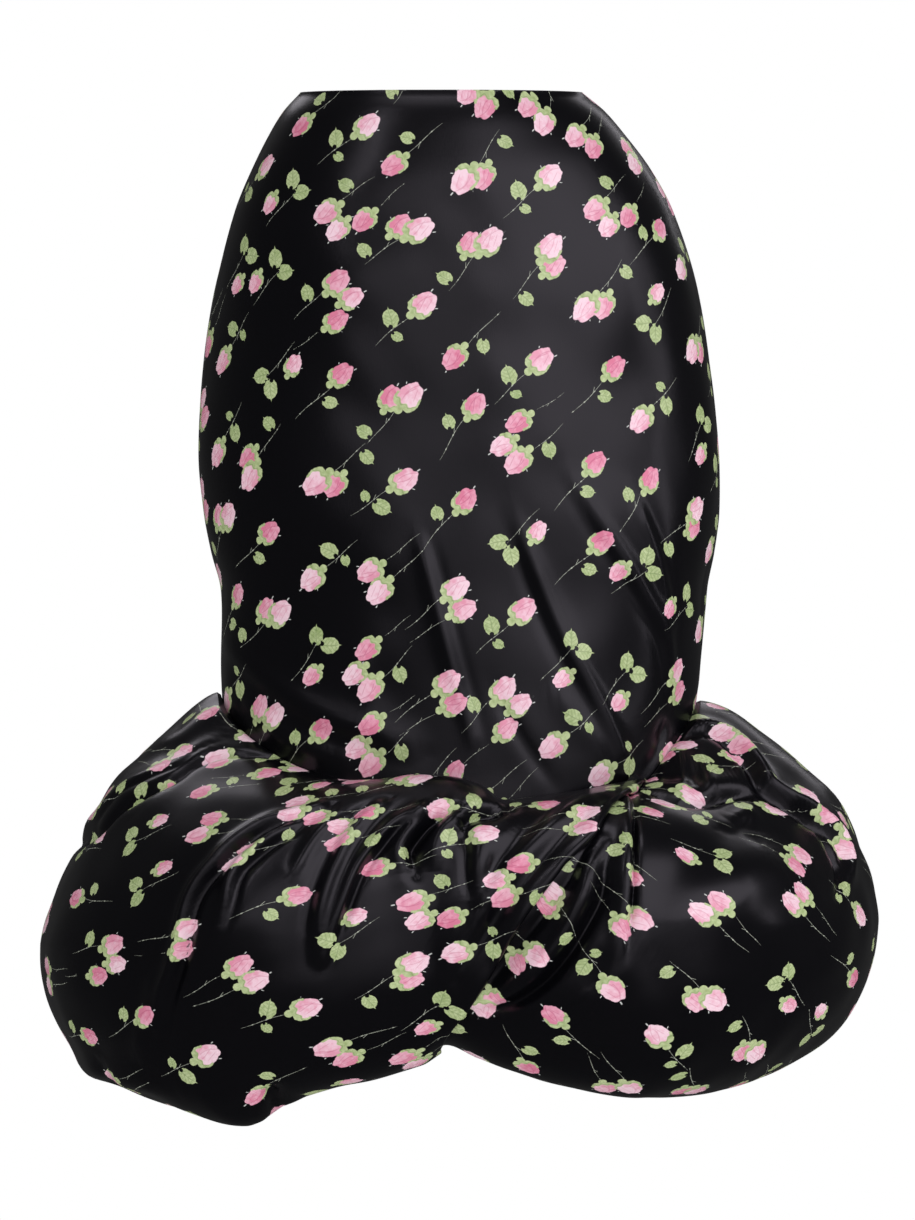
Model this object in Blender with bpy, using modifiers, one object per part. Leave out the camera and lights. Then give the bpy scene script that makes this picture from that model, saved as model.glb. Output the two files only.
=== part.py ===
"""Balloon skirt: a close upper skirt and a wide, draped balloon hem, worn shape, hollow inside.

Origin: the middle of the waist edge, where the wearer holds the skirt up. +Z up, front towards -Y.
Tables and named sizes are in millimetres; the meshes are made in metres.
Angles go round the skirt from +X (0, the right side) over +Y (90, the back) and -X (180, the left side)
to -Y (270, the front).
"""

from collections import namedtuple

import bpy
import numpy as np

# ---------------------------------------------------------------- driving sizes (mm)
MM = 0.001
WALL = 1.5            # thickness of the cloth
SEAM_GAP = 0.3        # clear space between two pieces at a seam
SEAM_LAP = 6.0        # how far the upper skirt runs down behind the balloon's edge
HUB_X = 14.0          # the balloon's middle, a little to the right of the waist's
SECTION_POWER = 2.15  # 2 is an ellipse, more is squarer
HEM_HALF_WIDTH = 150.0
HEM_HALF_DEPTH = 118.0
HEM_HEIGHT = -702.0
LAP_GAP = 0.8         # clear space under the folded edges that lie over the other half

# ---------------------------------------------------------------- grid
COLUMNS = 42              # over half a turn
UNDERLAP_COLUMNS = 2      # of a balloon half, hidden under the other half's folded edge
CREST, SHOULDER, LOWER, UNDER = 2, 8, 5, 3   # rows of each stretch of the balloon
UPPER_ROWS = (0.0, 0.05, 0.14, 0.30, 0.52, 0.74, 0.89, 1.0)  # of the way from waist to lower edge

OTHER = {"left": "right", "right": "left"}

# ---------------------------------------------------------------- upper skirt
# height; half the width and the middle in x; half the depth and the middle in y
UPPER_SECTIONS = (
    (0, 113, 0, 88, -6),
    (-14, 128, 2, 97, -5),
    (-30, 140, 4, 104, -4),
    (-62, 160, 8, 114, -2),
    (-94, 175, 10, 121, 1),
    (-158, 193, 12, 132, 5),
    (-206, 201, 12, 137, 8),
    (-254, 206, 13, 140, 9),
    (-294, 208, 14, 141, 9),
    (-334, 206, 16, 140, 7),
    (-366, 201, 17, 138, 5),
    (-398, 194, 18, 136, 3),
    (-462, 191, 15, 134, 0),
    (-500, 188, 14, 133, 0),
    (-580, 184, 14, 131, 0),
)

# ---------------------------------------------------------------- balloon
# angle; seam height; crest above and out from the seam; widest radius and its height;
# radius and height of the lowest point; roundness of the shoulder and of the lower part
BALLOON_SECTIONS = (
    (0, -480, 0, 6, 334, -663, 196, -798, 1.45, 2.1),
    (15, -498, 0, 6, 328, -662, 198, -798, 1.50, 2.1),
    (30, -530, 1, 6, 312, -658, 200, -797, 1.70, 2.1),
    (45, -550, 2, 8, 292, -656, 200, -793, 1.90, 2.2),
    (60, -560, 6, 10, 258, -656, 182, -781, 2.00, 2.2),
    (75, -562, 15, 14, 226, -657, 162, -765, 2.00, 2.2),
    (90, -562, 20, 16, 210, -655, 152, -746, 2.00, 2.2),
    (105, -560, 5, 10, 228, -655, 162, -762, 2.00, 2.2),
    (120, -557, 2, 8, 262, -657, 184, -780, 1.90, 2.3),
    (135, -552, 1, 6, 292, -664, 208, -796, 1.80, 2.4),
    (150, -540, 1, 5, 312, -672, 226, -800, 1.60, 2.5),
    (165, -508, 1, 5, 327, -678, 238, -798, 1.40, 2.55),
    (180, -477, 0, 6, 335, -681, 242, -796, 1.33, 2.6),
    (192, -494, 1, 5, 333, -681, 244, -800, 1.42, 2.6),
    (205, -520, 2, 5, 322, -680, 236, -812, 1.55, 2.5),
    (220, -541, 3, 6, 302, -676, 225, -825, 1.80, 2.4),
    (232, -553, 6, 10, 279, -672, 200, -797, 1.95, 2.3),
    (245, -562, 15, 14, 247, -668, 172, -784, 2.00, 2.2),
    (258, -566, 22, 17, 222, -664, 158, -767, 2.00, 2.2),
    (266, -568, 24, 18, 214, -662, 152, -755, 2.00, 2.2),
    (276, -568, 18, 16, 214, -660, 156, -767, 2.00, 2.2),
    (284, -566, 3, 9, 226, -659, 162, -777, 2.05, 2.2),
    (300, -560, 1, 7, 262, -660, 180, -791, 2.05, 2.1),
    (315, -557, 1, 6, 296, -662, 200, -799, 1.90, 2.1),
    (328, -553, 1, 6, 315, -663, 205, -801, 1.75, 2.1),
    (338, -525, 1, 6, 325, -663, 202, -800, 1.60, 2.1),
    (348, -500, 0, 6, 331, -663, 198, -798, 1.50, 2.1),
)

# The folded edge of the left half over the right half, in front view: x, height
CROSSING = (
    (158, -530),
    (153, -554),
    (132, -570),
    (120, -590),
    (96, -613),
    (68, -649),
    (52, -673),
    (37, -699),
    (17, -730),
    (8, -740),
    (-5, -756),
)
CROSSING_TOP = 330.0      # the angle of the tack, where that edge meets the seam
EDGE_PUFF = 6.0           # how far the folded edge stands up, half way down
EDGE_REACH = 0.16         # the part of half a turn over which it rises
EDGE_COLUMNS = (0.16, 0.26)  # of a column past the fold, where the edge turns down
EDGE_TURN = 0.9           # how much of its puff it loses there
TACK_NARROW = 0.3         # width of the turned edge at the tack, of its width below
TACK_LIFT = 1.4           # how much further the edge stands off at the tack
BULGE_POWER = 1.5         # how fast that puff swells along the edge and turns down across it

# ---------------------------------------------------------------- stations down the balloon
LOWEST, HEM = 3.0, 4.0
TACK_BLEND = 1.2          # the crossing edge swings from the tack onto its line above this station
UP_UNTIL, OUT_FROM = 0.9, 1.5  # the cloth is lifted upwards above the one, straight outwards below the other
SEAM_STILL, HEM_STILL = 1.1, 0.8  # stretches from the seam and from the hem over which folds fade in

# ---------------------------------------------------------------- folds
FOLD_REACH = 3.5          # widths from its path within which a fold moves the cloth
TROUGH_OFFSET = 1.5       # widths between a fold and the trough beside it
TROUGH_DEPTH = 0.6        # of the fold's lift
PATH_SPACING = 4.0        # between the points of a fold's path
DROP_WITHIN = 2.0         # how near a point of the balloon has to be seen to a path's point
FRONT_VIEW = (180.0, 360.0)    # the angles that the front view shows
CROSSING_VIEW = (250.0, 350.0)  # the angles between which the crossing edge runs

# panel; lift of the fold, down if negative; width; trough beside it (-1 left of its path, 1 right, 0 none);
# strength at its start and end; path in front view (x, height), or round the sides (angle, height)
Fold = namedtuple("Fold", "panel lift width trough start end path")

FRONT_FOLDS = (
    Fold("left", -15, 13, 0, 0.9, 0.4,
         ((-284, -598), (-252, -572), (-237, -562), (-216, -549), (-199, -530), (-180, -526), (-145, -526))),
    Fold("left", 8, 13, 0, 0.2, 0.3,
         ((-262, -545), (-234, -523), (-208, -513), (-187, -498), (-170, -502), (-153, -520))),
    Fold("left", 11, 15, -1, 0.3, 0.1,
         ((-94, -564), (-120, -576), (-144, -594), (-168, -605), (-188, -625), (-200, -640), (-208, -661),
          (-212, -681), (-220, -705), (-224, -719), (-216, -754))),
    Fold("left", 7, 12, -1, 0.4, 0.1, ((-60, -576), (-74, -594), (-83, -614), (-93, -669))),
    Fold("left", 7, 11, -1, 0.5, 0.1, ((-34, -578), (-54, -600), (-66, -616), (-76, -636))),
    Fold("left", 9, 11, -1, 0.6, 0.1,
         ((40, -552), (20, -562), (-6, -572), (-22, -588), (-26, -612))),
    Fold("left", -16, 10, 0, 0.6, 0.1, ((46, -566), (16, -572), (-4, -584), (-14, -600), (-18, -618))),
    Fold("left", -6, 12, 0, 0.6, 0.1, ((18, -572), (20, -610), (23, -640))),
    Fold("left", -6, 14, 0, 0.2, 0.1, ((-268, -770), (-252, -797))),
    Fold("right", -14, 13, 0, 0.5, 0.3,
         ((153, -554), (172, -559), (191, -566), (207, -565), (227, -558), (247, -560))),
    Fold("right", 9, 13, 1, 0.3, 0.2,
         ((188, -505), (207, -505), (236, -514), (252, -533), (264, -553), (288, -565), (310, -586),
          (325, -606), (327, -619), (323, -633))),
    Fold("right", 5, 9, 1, 0.3, 0.3, ((230, -580), (245, -572), (248, -587))),
    Fold("right", -12, 9, 0, 0.6, 0.1, ((152, -558), (152, -600), (151, -650), (142, -693))),
    Fold("right", 10, 12, -1, 0.6, 0.4,
         ((134, -580), (122, -612), (118, -640), (104, -672), (84, -702), (66, -718), (44, -730), (20, -736))),
    Fold("right", -8, 9, 0, 0.3, 0.6, ((86, -708), (64, -730), (38, -740), (10, -744))),
)

SIDE_FOLDS = (
    Fold("left", -14, 13, 0, 0.9, 0.1, ((189, -594), (180, -600), (168, -610), (152, -622), (140, -640))),
    Fold("left", 9, 14, 1, 0.2, 0.1, ((176, -530), (168, -560), (160, -600), (158, -650), (163, -700))),
    Fold("left", 8, 13, 1, 0.4, 0.1, ((145, -560), (134, -590), (128, -630), (130, -680))),
    Fold("left", -10, 12, 0, 0.8, 0.1, ((147, -556), (140, -585), (120, -610), (112, -650), (108, -700))),
    Fold("right", 9, 13, 1, 0.3, 0.1, ((356, -540), (4, -580), (10, -630), (8, -690))),
    Fold("right", 9, 14, -1, 0.3, 0.1, ((26, -548), (20, -590), (24, -640), (32, -690), (34, -730))),
    Fold("right", -12, 13, 0, 0.5, 0.1, ((40, -560), (36, -590), (44, -640), (52, -680))),
    Fold("right", 9, 13, -1, 0.4, 0.1, ((62, -566), (54, -592), (52, -628), (58, -670), (54, -710))),
    Fold("right", 8, 12, -1, 0.5, 0.1, ((74, -572), (70, -600), (70, -640))),
    Fold("right", -13, 10, 0, 0.6, 0.1, ((104, -572), (92, -584), (86, -606), (84, -626))),
)


# ---------------------------------------------------------------- curves through tables
def curve_through(keys, values, at):
    """A smooth curve through a table's values that never swings past them."""
    keys = np.asarray(keys, float)
    values = np.asarray(values, float)
    step = np.diff(keys)
    rise = np.diff(values) / step
    slope = np.zeros(len(keys))
    slope[0], slope[-1] = rise[0], rise[-1]
    both = rise[:-1] * rise[1:]
    total = np.where(both > 0, rise[:-1] + rise[1:], 1.0)
    slope[1:-1] = np.where(both > 0, 2 * both / total, 0.0)
    at = np.clip(at, keys[0], keys[-1])
    row = np.clip(np.searchsorted(keys, at, side="right") - 1, 0, len(keys) - 2)
    t = (at - keys[row]) / step[row]
    return (
        (2 * t**3 - 3 * t**2 + 1) * values[row]
        + (t**3 - 2 * t**2 + t) * step[row] * slope[row]
        + (3 * t**2 - 2 * t**3) * values[row + 1]
        + (t**3 - t**2) * step[row] * slope[row + 1]
    )


def upper_column(number, height):
    rows = UPPER_SECTIONS[::-1]
    return curve_through([r[0] for r in rows], [r[number] for r in rows], height)


def balloon_column(number, angle):
    rows = BALLOON_SECTIONS[-2:] + BALLOON_SECTIONS + BALLOON_SECTIONS[:2]
    turns = [-360] * 2 + [0] * len(BALLOON_SECTIONS) + [360] * 2
    keys = [r[0] + turn for r, turn in zip(rows, turns)]
    return curve_through(keys, [r[number] for r in rows], np.mod(angle, 360))


def oval_radius(angle, half_width, half_depth):
    """Distance from the middle to a rounded oval's edge in the direction of the angle."""
    turn = np.radians(angle)
    across = np.abs(np.cos(turn)) / half_width
    deep = np.abs(np.sin(turn)) / half_depth
    return (across**SECTION_POWER + deep**SECTION_POWER) ** (-1 / SECTION_POWER)


# ---------------------------------------------------------------- the two surfaces
def upper_radius(angle, height):
    return oval_radius(angle, upper_column(1, height), upper_column(3, height))


def upper_point(angle, height):
    radius = upper_radius(angle, height)
    turn = np.radians(angle)
    x = upper_column(2, height) + radius * np.cos(turn)
    y = upper_column(4, height) + radius * np.sin(turn)
    return np.stack([x, y, height], axis=-1)


def balloon_point(angle, station):
    """Stations: 0 seam, 1 crest of the top roll, 2 widest, 3 lowest, 4 the turned edge at the legs."""
    angle, station = np.broadcast_arrays(np.asarray(angle, float), np.asarray(station, float))
    seam, up, out, wide, wide_height, low, low_height, shoulder, lower = (
        balloon_column(number, angle) for number in range(1, 10)
    )
    start = np.maximum(upper_radius(angle, seam), upper_radius(angle, seam + up)) + WALL + SEAM_GAP
    crest = start + out
    crest_height = seam + up
    hem = oval_radius(angle, HEM_HALF_WIDTH, HEM_HALF_DEPTH)
    stretch = np.minimum(np.floor(station), HEM - 1).astype(int)
    quarter = np.pi / 2 * (station - stretch)
    sine, cosine = np.sin(quarter), np.clip(np.cos(quarter), 0, 1)
    radius = np.choose(stretch, (
        start + out * (1 - cosine),
        crest + (wide - crest) * sine ** (2 / shoulder),
        low + (wide - low) * cosine ** (2 / lower),
        low - (low - hem) * sine,
    ))
    height = np.choose(stretch, (
        seam + up * sine,
        wide_height + (crest_height - wide_height) * cosine ** (2 / shoulder),
        wide_height + (low_height - wide_height) * sine ** (2 / lower),
        low_height + (HEM_HEIGHT - low_height) * (1 - cosine),
    ))
    turn = np.radians(angle)
    return np.stack([HUB_X + radius * np.cos(turn), radius * np.sin(turn), height], axis=-1)


def outward(angle, station):
    """The balloon's unit normal, away from the stuffing side."""
    small_turn, small_step = 0.4, 0.02
    station = np.clip(station, small_step, HEM - small_step)
    around = balloon_point(angle + small_turn, station) - balloon_point(angle - small_turn, station)
    down = balloon_point(angle, station + small_step) - balloon_point(angle, station - small_step)
    normal = np.cross(down, around)
    return normal / np.linalg.norm(normal, axis=-1, keepdims=True)


# ---------------------------------------------------------------- where the halves cross
def crossing_angles(stations):
    """The angle of the front folded edge at each station, from its line in front view."""
    heights = [z for _, z in CROSSING][::-1]
    across = [x for x, _ in CROSSING][::-1]
    angles = np.linspace(*CROSSING_VIEW, 401)
    found = []
    for station in stations:
        seen = balloon_point(angles, min(station, LOWEST))
        past = seen[:, 0] - np.interp(seen[:, 2], heights, across)
        first = int(np.argmax(past > 0))
        part = past[first - 1] / (past[first - 1] - past[first])
        found.append(angles[first - 1] + part * (angles[first] - angles[first - 1]))
    found = np.minimum(np.array(found), CROSSING_TOP)
    blend = np.clip(np.asarray(stations) / TACK_BLEND, 0, 1)
    return CROSSING_TOP * (1 - blend) + found * blend


# ---------------------------------------------------------------- folds on the surface
def smooth_path(points):
    """Points of a fold, joined by a smooth curve and spaced evenly."""
    points = np.asarray(points, float)
    along = np.concatenate([[0], np.cumsum(np.linalg.norm(np.diff(points, axis=0), axis=1))])
    at = np.linspace(0, along[-1], max(int(along[-1] / PATH_SPACING), 4))
    return np.stack([curve_through(along, points[:, axis], at) for axis in range(3)], axis=1)


def front_path(path):
    """Drops points given in front view (x, height) on the front of the balloon."""
    angles, stations = np.meshgrid(np.linspace(*FRONT_VIEW, 361), np.linspace(0.3, LOWEST, 271))
    surface = balloon_point(angles, stations).reshape(-1, 3)
    found = []
    for x, height in path:
        off = (surface[:, 0] - x) ** 2 + (surface[:, 2] - height) ** 2
        near = np.flatnonzero(off < off.min() + DROP_WITHIN**2)
        found.append(surface[near[np.argmin(surface[near, 1])]])
    return smooth_path(found)


def side_path(path):
    """Drops points given as (angle, height) on the balloon."""
    stations = np.linspace(1.0, LOWEST, 201)
    found = []
    for angle, height in path:
        column = balloon_point(float(angle), stations)
        found.append(column[np.argmin(np.abs(column[:, 2] - height))])
    return smooth_path(found)


def fold_lift(fold, path, points, normals):
    """How far a fold moves each point along its normal."""
    shape = points.shape[:-1]
    points, normals = points.reshape(-1, 3), normals.reshape(-1, 3)
    lift = np.zeros(len(points))
    reach = FOLD_REACH * fold.width
    low, high = path.min(axis=0) - reach, path.max(axis=0) + reach
    near = np.flatnonzero(((points > low) & (points < high)).all(axis=1))
    if len(near):
        apart = points[near, None, :] - path[None, :, :]
        closest = np.argmin((apart**2).sum(axis=2), axis=1)
        offset = apart[np.arange(len(near)), closest]
        along = np.gradient(path, axis=0)[closest]
        aside = np.cross(normals[near], along)
        aside /= np.linalg.norm(aside, axis=1, keepdims=True)
        distance = np.linalg.norm(offset, axis=1) * np.sign((offset * aside).sum(axis=1))
        strength = curve_through((0, 0.3, 0.7, 1), (fold.start, 1, 1, fold.end),
                                 closest / (len(path) - 1))
        bump = np.exp(-((distance / fold.width) ** 2))
        beside = np.exp(-((distance / fold.width + TROUGH_OFFSET * fold.trough) ** 2))
        lift[near] = fold.lift * strength * (bump - TROUGH_DEPTH * abs(fold.trough) * beside)
    return lift.reshape(shape)


def panel_lift(panel, points, normals):
    """All folds of one half; they fade where the cloth is sewn and at the turned edge."""
    total = np.zeros(points.shape[:-1])
    for folds, drop in ((FRONT_FOLDS, front_path), (SIDE_FOLDS, side_path)):
        for fold in folds:
            if fold.panel == panel:
                total += fold_lift(fold, drop(fold.path), points, normals)
    return total


# ---------------------------------------------------------------- grids of points
def balloon_stations():
    counts = (CREST, SHOULDER, LOWER, UNDER)
    parts = [np.arange(count) / count + number for number, count in enumerate(counts)]
    return np.concatenate(parts + [[HEM]])


def seam_fade(station):
    """Folds are still at the seam and at the turned edge."""
    return np.clip(station / SEAM_STILL, 0, 1) ** 2 * np.clip((HEM - station) / HEM_STILL, 0, 1)


def edge_bulge(station):
    """How far the folded edges puff up, from nothing at the seam and at the hem to 1 half way."""
    return np.sin(np.pi * np.clip(station / HEM, 0, 1)) ** BULGE_POWER


def lift_direction(angles, stations):
    """Along the normal, but outwards and up beside the seam, where layers lie clear of the upper skirt."""
    turn = np.radians(angles)
    beside = np.stack([np.cos(turn), np.sin(turn), np.ones_like(turn)], axis=-1)
    blend = np.clip((stations - UP_UNTIL) / (OUT_FROM - UP_UNTIL), 0, 1)[..., None]
    return beside * (1 - blend) + outward(angles, stations) * blend


def balloon_body(panel):
    """One half as points without folds, the way out of each and how far its folds lift it.

    Its columns are its underlap, then its body up to the fold of its front edge."""
    stations = balloon_stations()
    edge = crossing_angles(stations) - (180 if panel == "left" else 0)
    steps = np.arange(-UNDERLAP_COLUMNS, COLUMNS + 1) / COLUMNS
    angles = edge[:, None] + 180 * steps[None, :]
    stations = np.broadcast_to(stations[:, None], angles.shape)
    points = balloon_point(angles, stations)
    normals = outward(angles, stations)
    near_edge = 1 - UNDERLAP_COLUMNS / COLUMNS
    rise = np.clip((steps - near_edge + EDGE_REACH) / EDGE_REACH, 0, 1) ** 2
    lift = panel_lift(panel, points, normals) * seam_fade(stations)
    stand = WALL + LAP_GAP + EDGE_PUFF * edge_bulge(stations) + TACK_LIFT * np.clip(1 - stations, 0, 1)
    lift += stand * rise[None, :]
    under = slice(0, UNDERLAP_COLUMNS + 1)
    cover = panel_lift(OTHER[panel], points[:, under], normals[:, under])
    lift[:, under] = np.minimum(lift[:, under], cover * seam_fade(stations[:, under]))
    return points, lift_direction(angles, stations), lift


def balloon_grid(panel):
    """One half with its folded edge, which turns down towards the half that it lies on."""
    points, outside, lift = balloon_body(panel)
    below, _, below_lift = balloon_body(OTHER[panel])
    near, far = UNDERLAP_COLUMNS, UNDERLAP_COLUMNS + 1
    stations = balloon_stations()
    columns = [points + outside * lift[..., None]]
    for number, width in enumerate(EDGE_COLUMNS, start=1):
        part = width * np.clip(stations, TACK_NARROW, 1)
        turn_down = EDGE_TURN * EDGE_PUFF * edge_bulge(stations) * (number / len(EDGE_COLUMNS)) ** BULGE_POWER
        lowest = below_lift[:, near] * (1 - part) + below_lift[:, far] * part + WALL + LAP_GAP
        height = np.maximum(lift[:, -1] - turn_down, lowest)
        place = below[:, near] + (below[:, far] - below[:, near]) * part[:, None]
        columns.append((place + outside[:, -1] * height[:, None])[:, None])
    return np.concatenate(columns, axis=1)


def upper_grid(first_angle):
    """Points of the front or the back of the upper skirt, clear of the side seams by half the gap."""
    angles = first_angle + 180 * np.arange(COLUMNS + 1) / COLUMNS
    heights = np.array(UPPER_ROWS)[:, None] * (balloon_column(1, angles) - SEAM_LAP)[None, :]
    angles = np.repeat(angles[None, :], len(UPPER_ROWS), axis=0)
    for side, towards in ((0, 1), (-1, -1)):
        radius = upper_radius(angles[:, side], heights[:, side])
        angles[:, side] += towards * np.degrees(SEAM_GAP / 2 / radius)
    return upper_point(angles, heights)


# ---------------------------------------------------------------- objects
def satin():
    material = bpy.data.materials.new("black_satin")
    material.use_nodes = True
    shader = material.node_tree.nodes["Principled BSDF"]
    shader.inputs["Base Color"].default_value = (0.012, 0.011, 0.014, 1)
    shader.inputs["Roughness"].default_value = 0.32
    shader.inputs["Metallic"].default_value = 0.0
    return material


def cloth(name, points, collection):
    """A grid of points as an open surface, made into a wall by Solidify."""
    rows, columns = points.shape[:2]
    corner = np.arange((rows - 1) * columns).reshape(rows - 1, columns)[:, :-1].ravel()
    faces = np.stack([corner, corner + columns, corner + columns + 1, corner + 1], axis=1)
    mesh = bpy.data.meshes.new(name)
    mesh.from_pydata((points.reshape(-1, 3) * MM).tolist(), [], faces.tolist())
    mesh.shade_smooth()
    mesh.materials.append(satin())
    piece = bpy.data.objects.new(name, mesh)
    wall = piece.modifiers.new("wall", "SOLIDIFY")
    wall.thickness = WALL * MM
    wall.offset = 0.0
    collection.objects.link(piece)
    return piece


def main():
    for old in list(bpy.data.objects):
        bpy.data.objects.remove(old, do_unlink=True)
    collection = bpy.data.collections.new("balloon_skirt")
    bpy.context.scene.collection.children.link(collection)
    cloth("skirt_front", upper_grid(180.0), collection)
    cloth("skirt_back", upper_grid(0.0), collection)
    cloth("balloon_left", balloon_grid("left"), collection)
    cloth("balloon_right", balloon_grid("right"), collection)


main()
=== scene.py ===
"""Looks of the balloon skirt: thin satin shells with their folds, rosebud print, light and camera.

Same frame as the CAD: origin in the middle of the waist edge, +Z up, front towards -Y.
Tables and named sizes are in millimetres; the meshes are made in metres.
Angles go round the skirt from +X (0, the right side) over +Y (90, the back) and -X (180, the left side)
to -Y (270, the front). Stations go down the balloon: 0 seam, 1 crest of the top roll, 2 widest,
3 lowest, 4 the turned edge at the legs.
"""

from collections import namedtuple
from functools import lru_cache, partial

import bpy
import numpy as np
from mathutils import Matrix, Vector


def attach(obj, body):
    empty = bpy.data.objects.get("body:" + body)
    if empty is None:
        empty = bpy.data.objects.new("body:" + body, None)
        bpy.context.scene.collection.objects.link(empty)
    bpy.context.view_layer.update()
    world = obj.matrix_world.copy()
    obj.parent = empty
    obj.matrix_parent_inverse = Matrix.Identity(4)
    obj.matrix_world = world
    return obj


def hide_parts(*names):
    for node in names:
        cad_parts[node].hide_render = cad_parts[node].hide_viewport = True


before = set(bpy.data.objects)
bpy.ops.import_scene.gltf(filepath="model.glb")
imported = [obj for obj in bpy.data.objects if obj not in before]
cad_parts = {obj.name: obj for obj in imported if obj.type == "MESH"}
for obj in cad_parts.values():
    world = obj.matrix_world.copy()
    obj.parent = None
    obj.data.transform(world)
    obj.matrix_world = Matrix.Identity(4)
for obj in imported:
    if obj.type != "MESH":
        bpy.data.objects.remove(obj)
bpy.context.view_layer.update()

# ------ sizes (mm)
MM = 0.001
WALL = 0.9  # thickness of the satin with its interlining
SEAM_GAP = 0.2  # between two pieces at a seam
SEAM_LAP = 6.0  # how far the upper skirt runs down behind the balloon's edge
HUB_X = 14.0  # the balloon's middle, a little to the right of the waist's
SECTION_POWER = 2.15  # 2 is an ellipse, more is squarer
TURN_UNDER_POWER = 1.5  # likewise where the balloon turns under, less is flatter
HEM_HALF_WIDTH = 150.0
HEM_HALF_DEPTH = 118.0
HEM_HEIGHT = -702.0
LAP_GAP = 0.4  # clear space under the folded edges that lie over the other half
WAIST_TURN = 12.0  # how far the turned waist edge runs down inside
TURN_RADIUS = 1.1  # of that turn

# ------ grids
COLUMNS = 300  # over half a turn of the balloon
FRONT_DENSITY = 0.45  # how much closer than the average those at the front crossing lie
UNDERLAP_COLUMNS = 12  # of a balloon half, hidden under the other half's folded edge
STRETCH_ROWS = (6, 84, 48, 12)  # of the balloon, between its stations
UPPER_ROWS = 110
UPPER_COLUMNS = 300
PANEL_START = {"front": 180.0, "back": 0.0}   # the angle of the upper skirt's first column
TURN_STEPS = 7  # round a turned or folded edge
FLAP_STEPS = 4  # of the cloth behind such an edge
FLAP = 9.0  # how far the cloth runs back under a folded edge
OTHER = {"left": "right", "right": "left"}
LOWEST, HEM = 3.0, 4.0

# ------ upper skirt
# height; half the width and the middle in x; half the depth and the middle in y
UPPER_SECTIONS = (
    (0, 113, 0, 88, -6),
    (-14, 128, 2, 97, -5),
    (-30, 140, 4, 104, -4),
    (-62, 160, 8, 114, -2),
    (-94, 175, 10, 121, 1),
    (-158, 193, 12, 132, 5),
    (-206, 201, 12, 137, 8),
    (-254, 206, 13, 140, 9),
    (-294, 208, 14, 141, 9),
    (-334, 206, 16, 140, 7),
    (-366, 201, 17, 138, 5),
    (-398, 194, 18, 136, 3),
    (-462, 191, 15, 134, 0),
    (-500, 188, 14, 133, 0),
    (-580, 184, 14, 131, 0),
)

# ------ balloon
# angle; seam height; crest above and out from the seam; widest radius and its height;
# radius and height of the lowest point; roundness of the shoulder and of the lower part
BALLOON_SECTIONS = (
    (0, -487, 0, 2, 334, -663, 190, -797, 1.62, 2.0),
    (15, -501, 0, 3, 329, -662, 192, -797, 1.64, 2.0),
    (30, -530, 1, 6, 312, -658, 200, -797, 1.70, 2.1),
    (45, -550, 2, 8, 292, -656, 200, -793, 1.90, 2.2),
    (60, -560, 6, 10, 258, -656, 182, -781, 2.00, 2.2),
    (75, -562, 15, 14, 226, -657, 162, -765, 2.00, 2.2),
    (90, -562, 20, 16, 210, -655, 152, -746, 2.00, 2.2),
    (105, -560, 5, 10, 228, -655, 162, -762, 2.00, 2.2),
    (120, -557, 2, 8, 262, -657, 184, -780, 1.90, 2.3),
    (135, -552, 1, 6, 292, -664, 208, -796, 1.80, 2.4),
    (150, -540, 1, 5, 312, -672, 226, -800, 1.60, 2.5),
    (165, -510, 1, 3, 327, -678, 234, -797, 1.38, 2.1),
    (180, -481, 0, 1, 335, -681, 236, -795, 1.36, 2.05),
    (192, -498, 1, 3, 333, -681, 234, -801, 1.40, 2.1),
    (205, -520, 2, 5, 322, -680, 224, -809, 1.55, 2.25),
    (220, -541, 3, 6, 302, -676, 221, -822, 1.80, 2.2),
    (232, -553, 6, 10, 279, -672, 194, -796, 1.95, 2.2),
    (245, -562, 15, 14, 247, -668, 172, -784, 2.00, 2.2),
    (258, -566, 22, 17, 222, -664, 158, -767, 2.00, 2.2),
    (266, -568, 24, 18, 214, -662, 152, -755, 2.00, 2.2),
    (276, -568, 18, 16, 214, -660, 156, -767, 2.00, 2.2),
    (284, -566, 3, 9, 226, -659, 162, -777, 2.05, 2.2),
    (300, -560, 1, 7, 262, -660, 180, -791, 2.05, 2.1),
    (315, -557, 1, 6, 296, -662, 196, -799, 1.90, 2.05),
    (328, -553, 1, 6, 315, -663, 198, -800, 1.75, 2.0),
    (338, -528, 1, 5, 325, -663, 194, -798, 1.64, 2.0),
    (348, -504, 0, 3, 331, -663, 190, -797, 1.62, 2.0),
)

# The folded edge of the left half over the right half, in front view: x, height
CROSSING = ((158, -530), (153, -554), (132, -570), (120, -590), (96, -613), (68, -649), (52, -673),
            (37, -699), (17, -730), (8, -740), (-5, -756))
CROSSING_TOP = 330.0  # the angle of the tack, where that edge meets the seam
CROSSING_ANGLES = (250.0, 350.0, 401)  # searched for that edge: first, last and number
TACK_BLEND = 1.2  # the crossing edge swings from the tack onto its line above this station
EDGE_PUFF = 6.0  # how far the folded edge stands up, half way down
EDGE_REACH = 0.16  # the part of half a turn over which it rises
TACK_LIFT = 0.6  # how much further the edge stands off at the tack
BULGE_POWER = 1.5  # of the folded edge's rise and fall from the seam to the hem
LEAST_FOLD = 0.3  # radius of the folded edge where it lies flattest
UP_UNTIL, OUT_FROM = 0.9, 1.5  # the cloth is lifted upwards above the one, straight outwards below the other
SEAM_STILL, HEM_STILL = 0.9, 0.8  # stations from the seam and from the hem over which folds fade in
# where the upper skirt's folds fade in: mm below the waist, parts of the panel from the seam and the sides
WAIST_STILL, UPPER_SEAM_STILL, SIDE_STILL = 60, 0.05, 0.04

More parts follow.
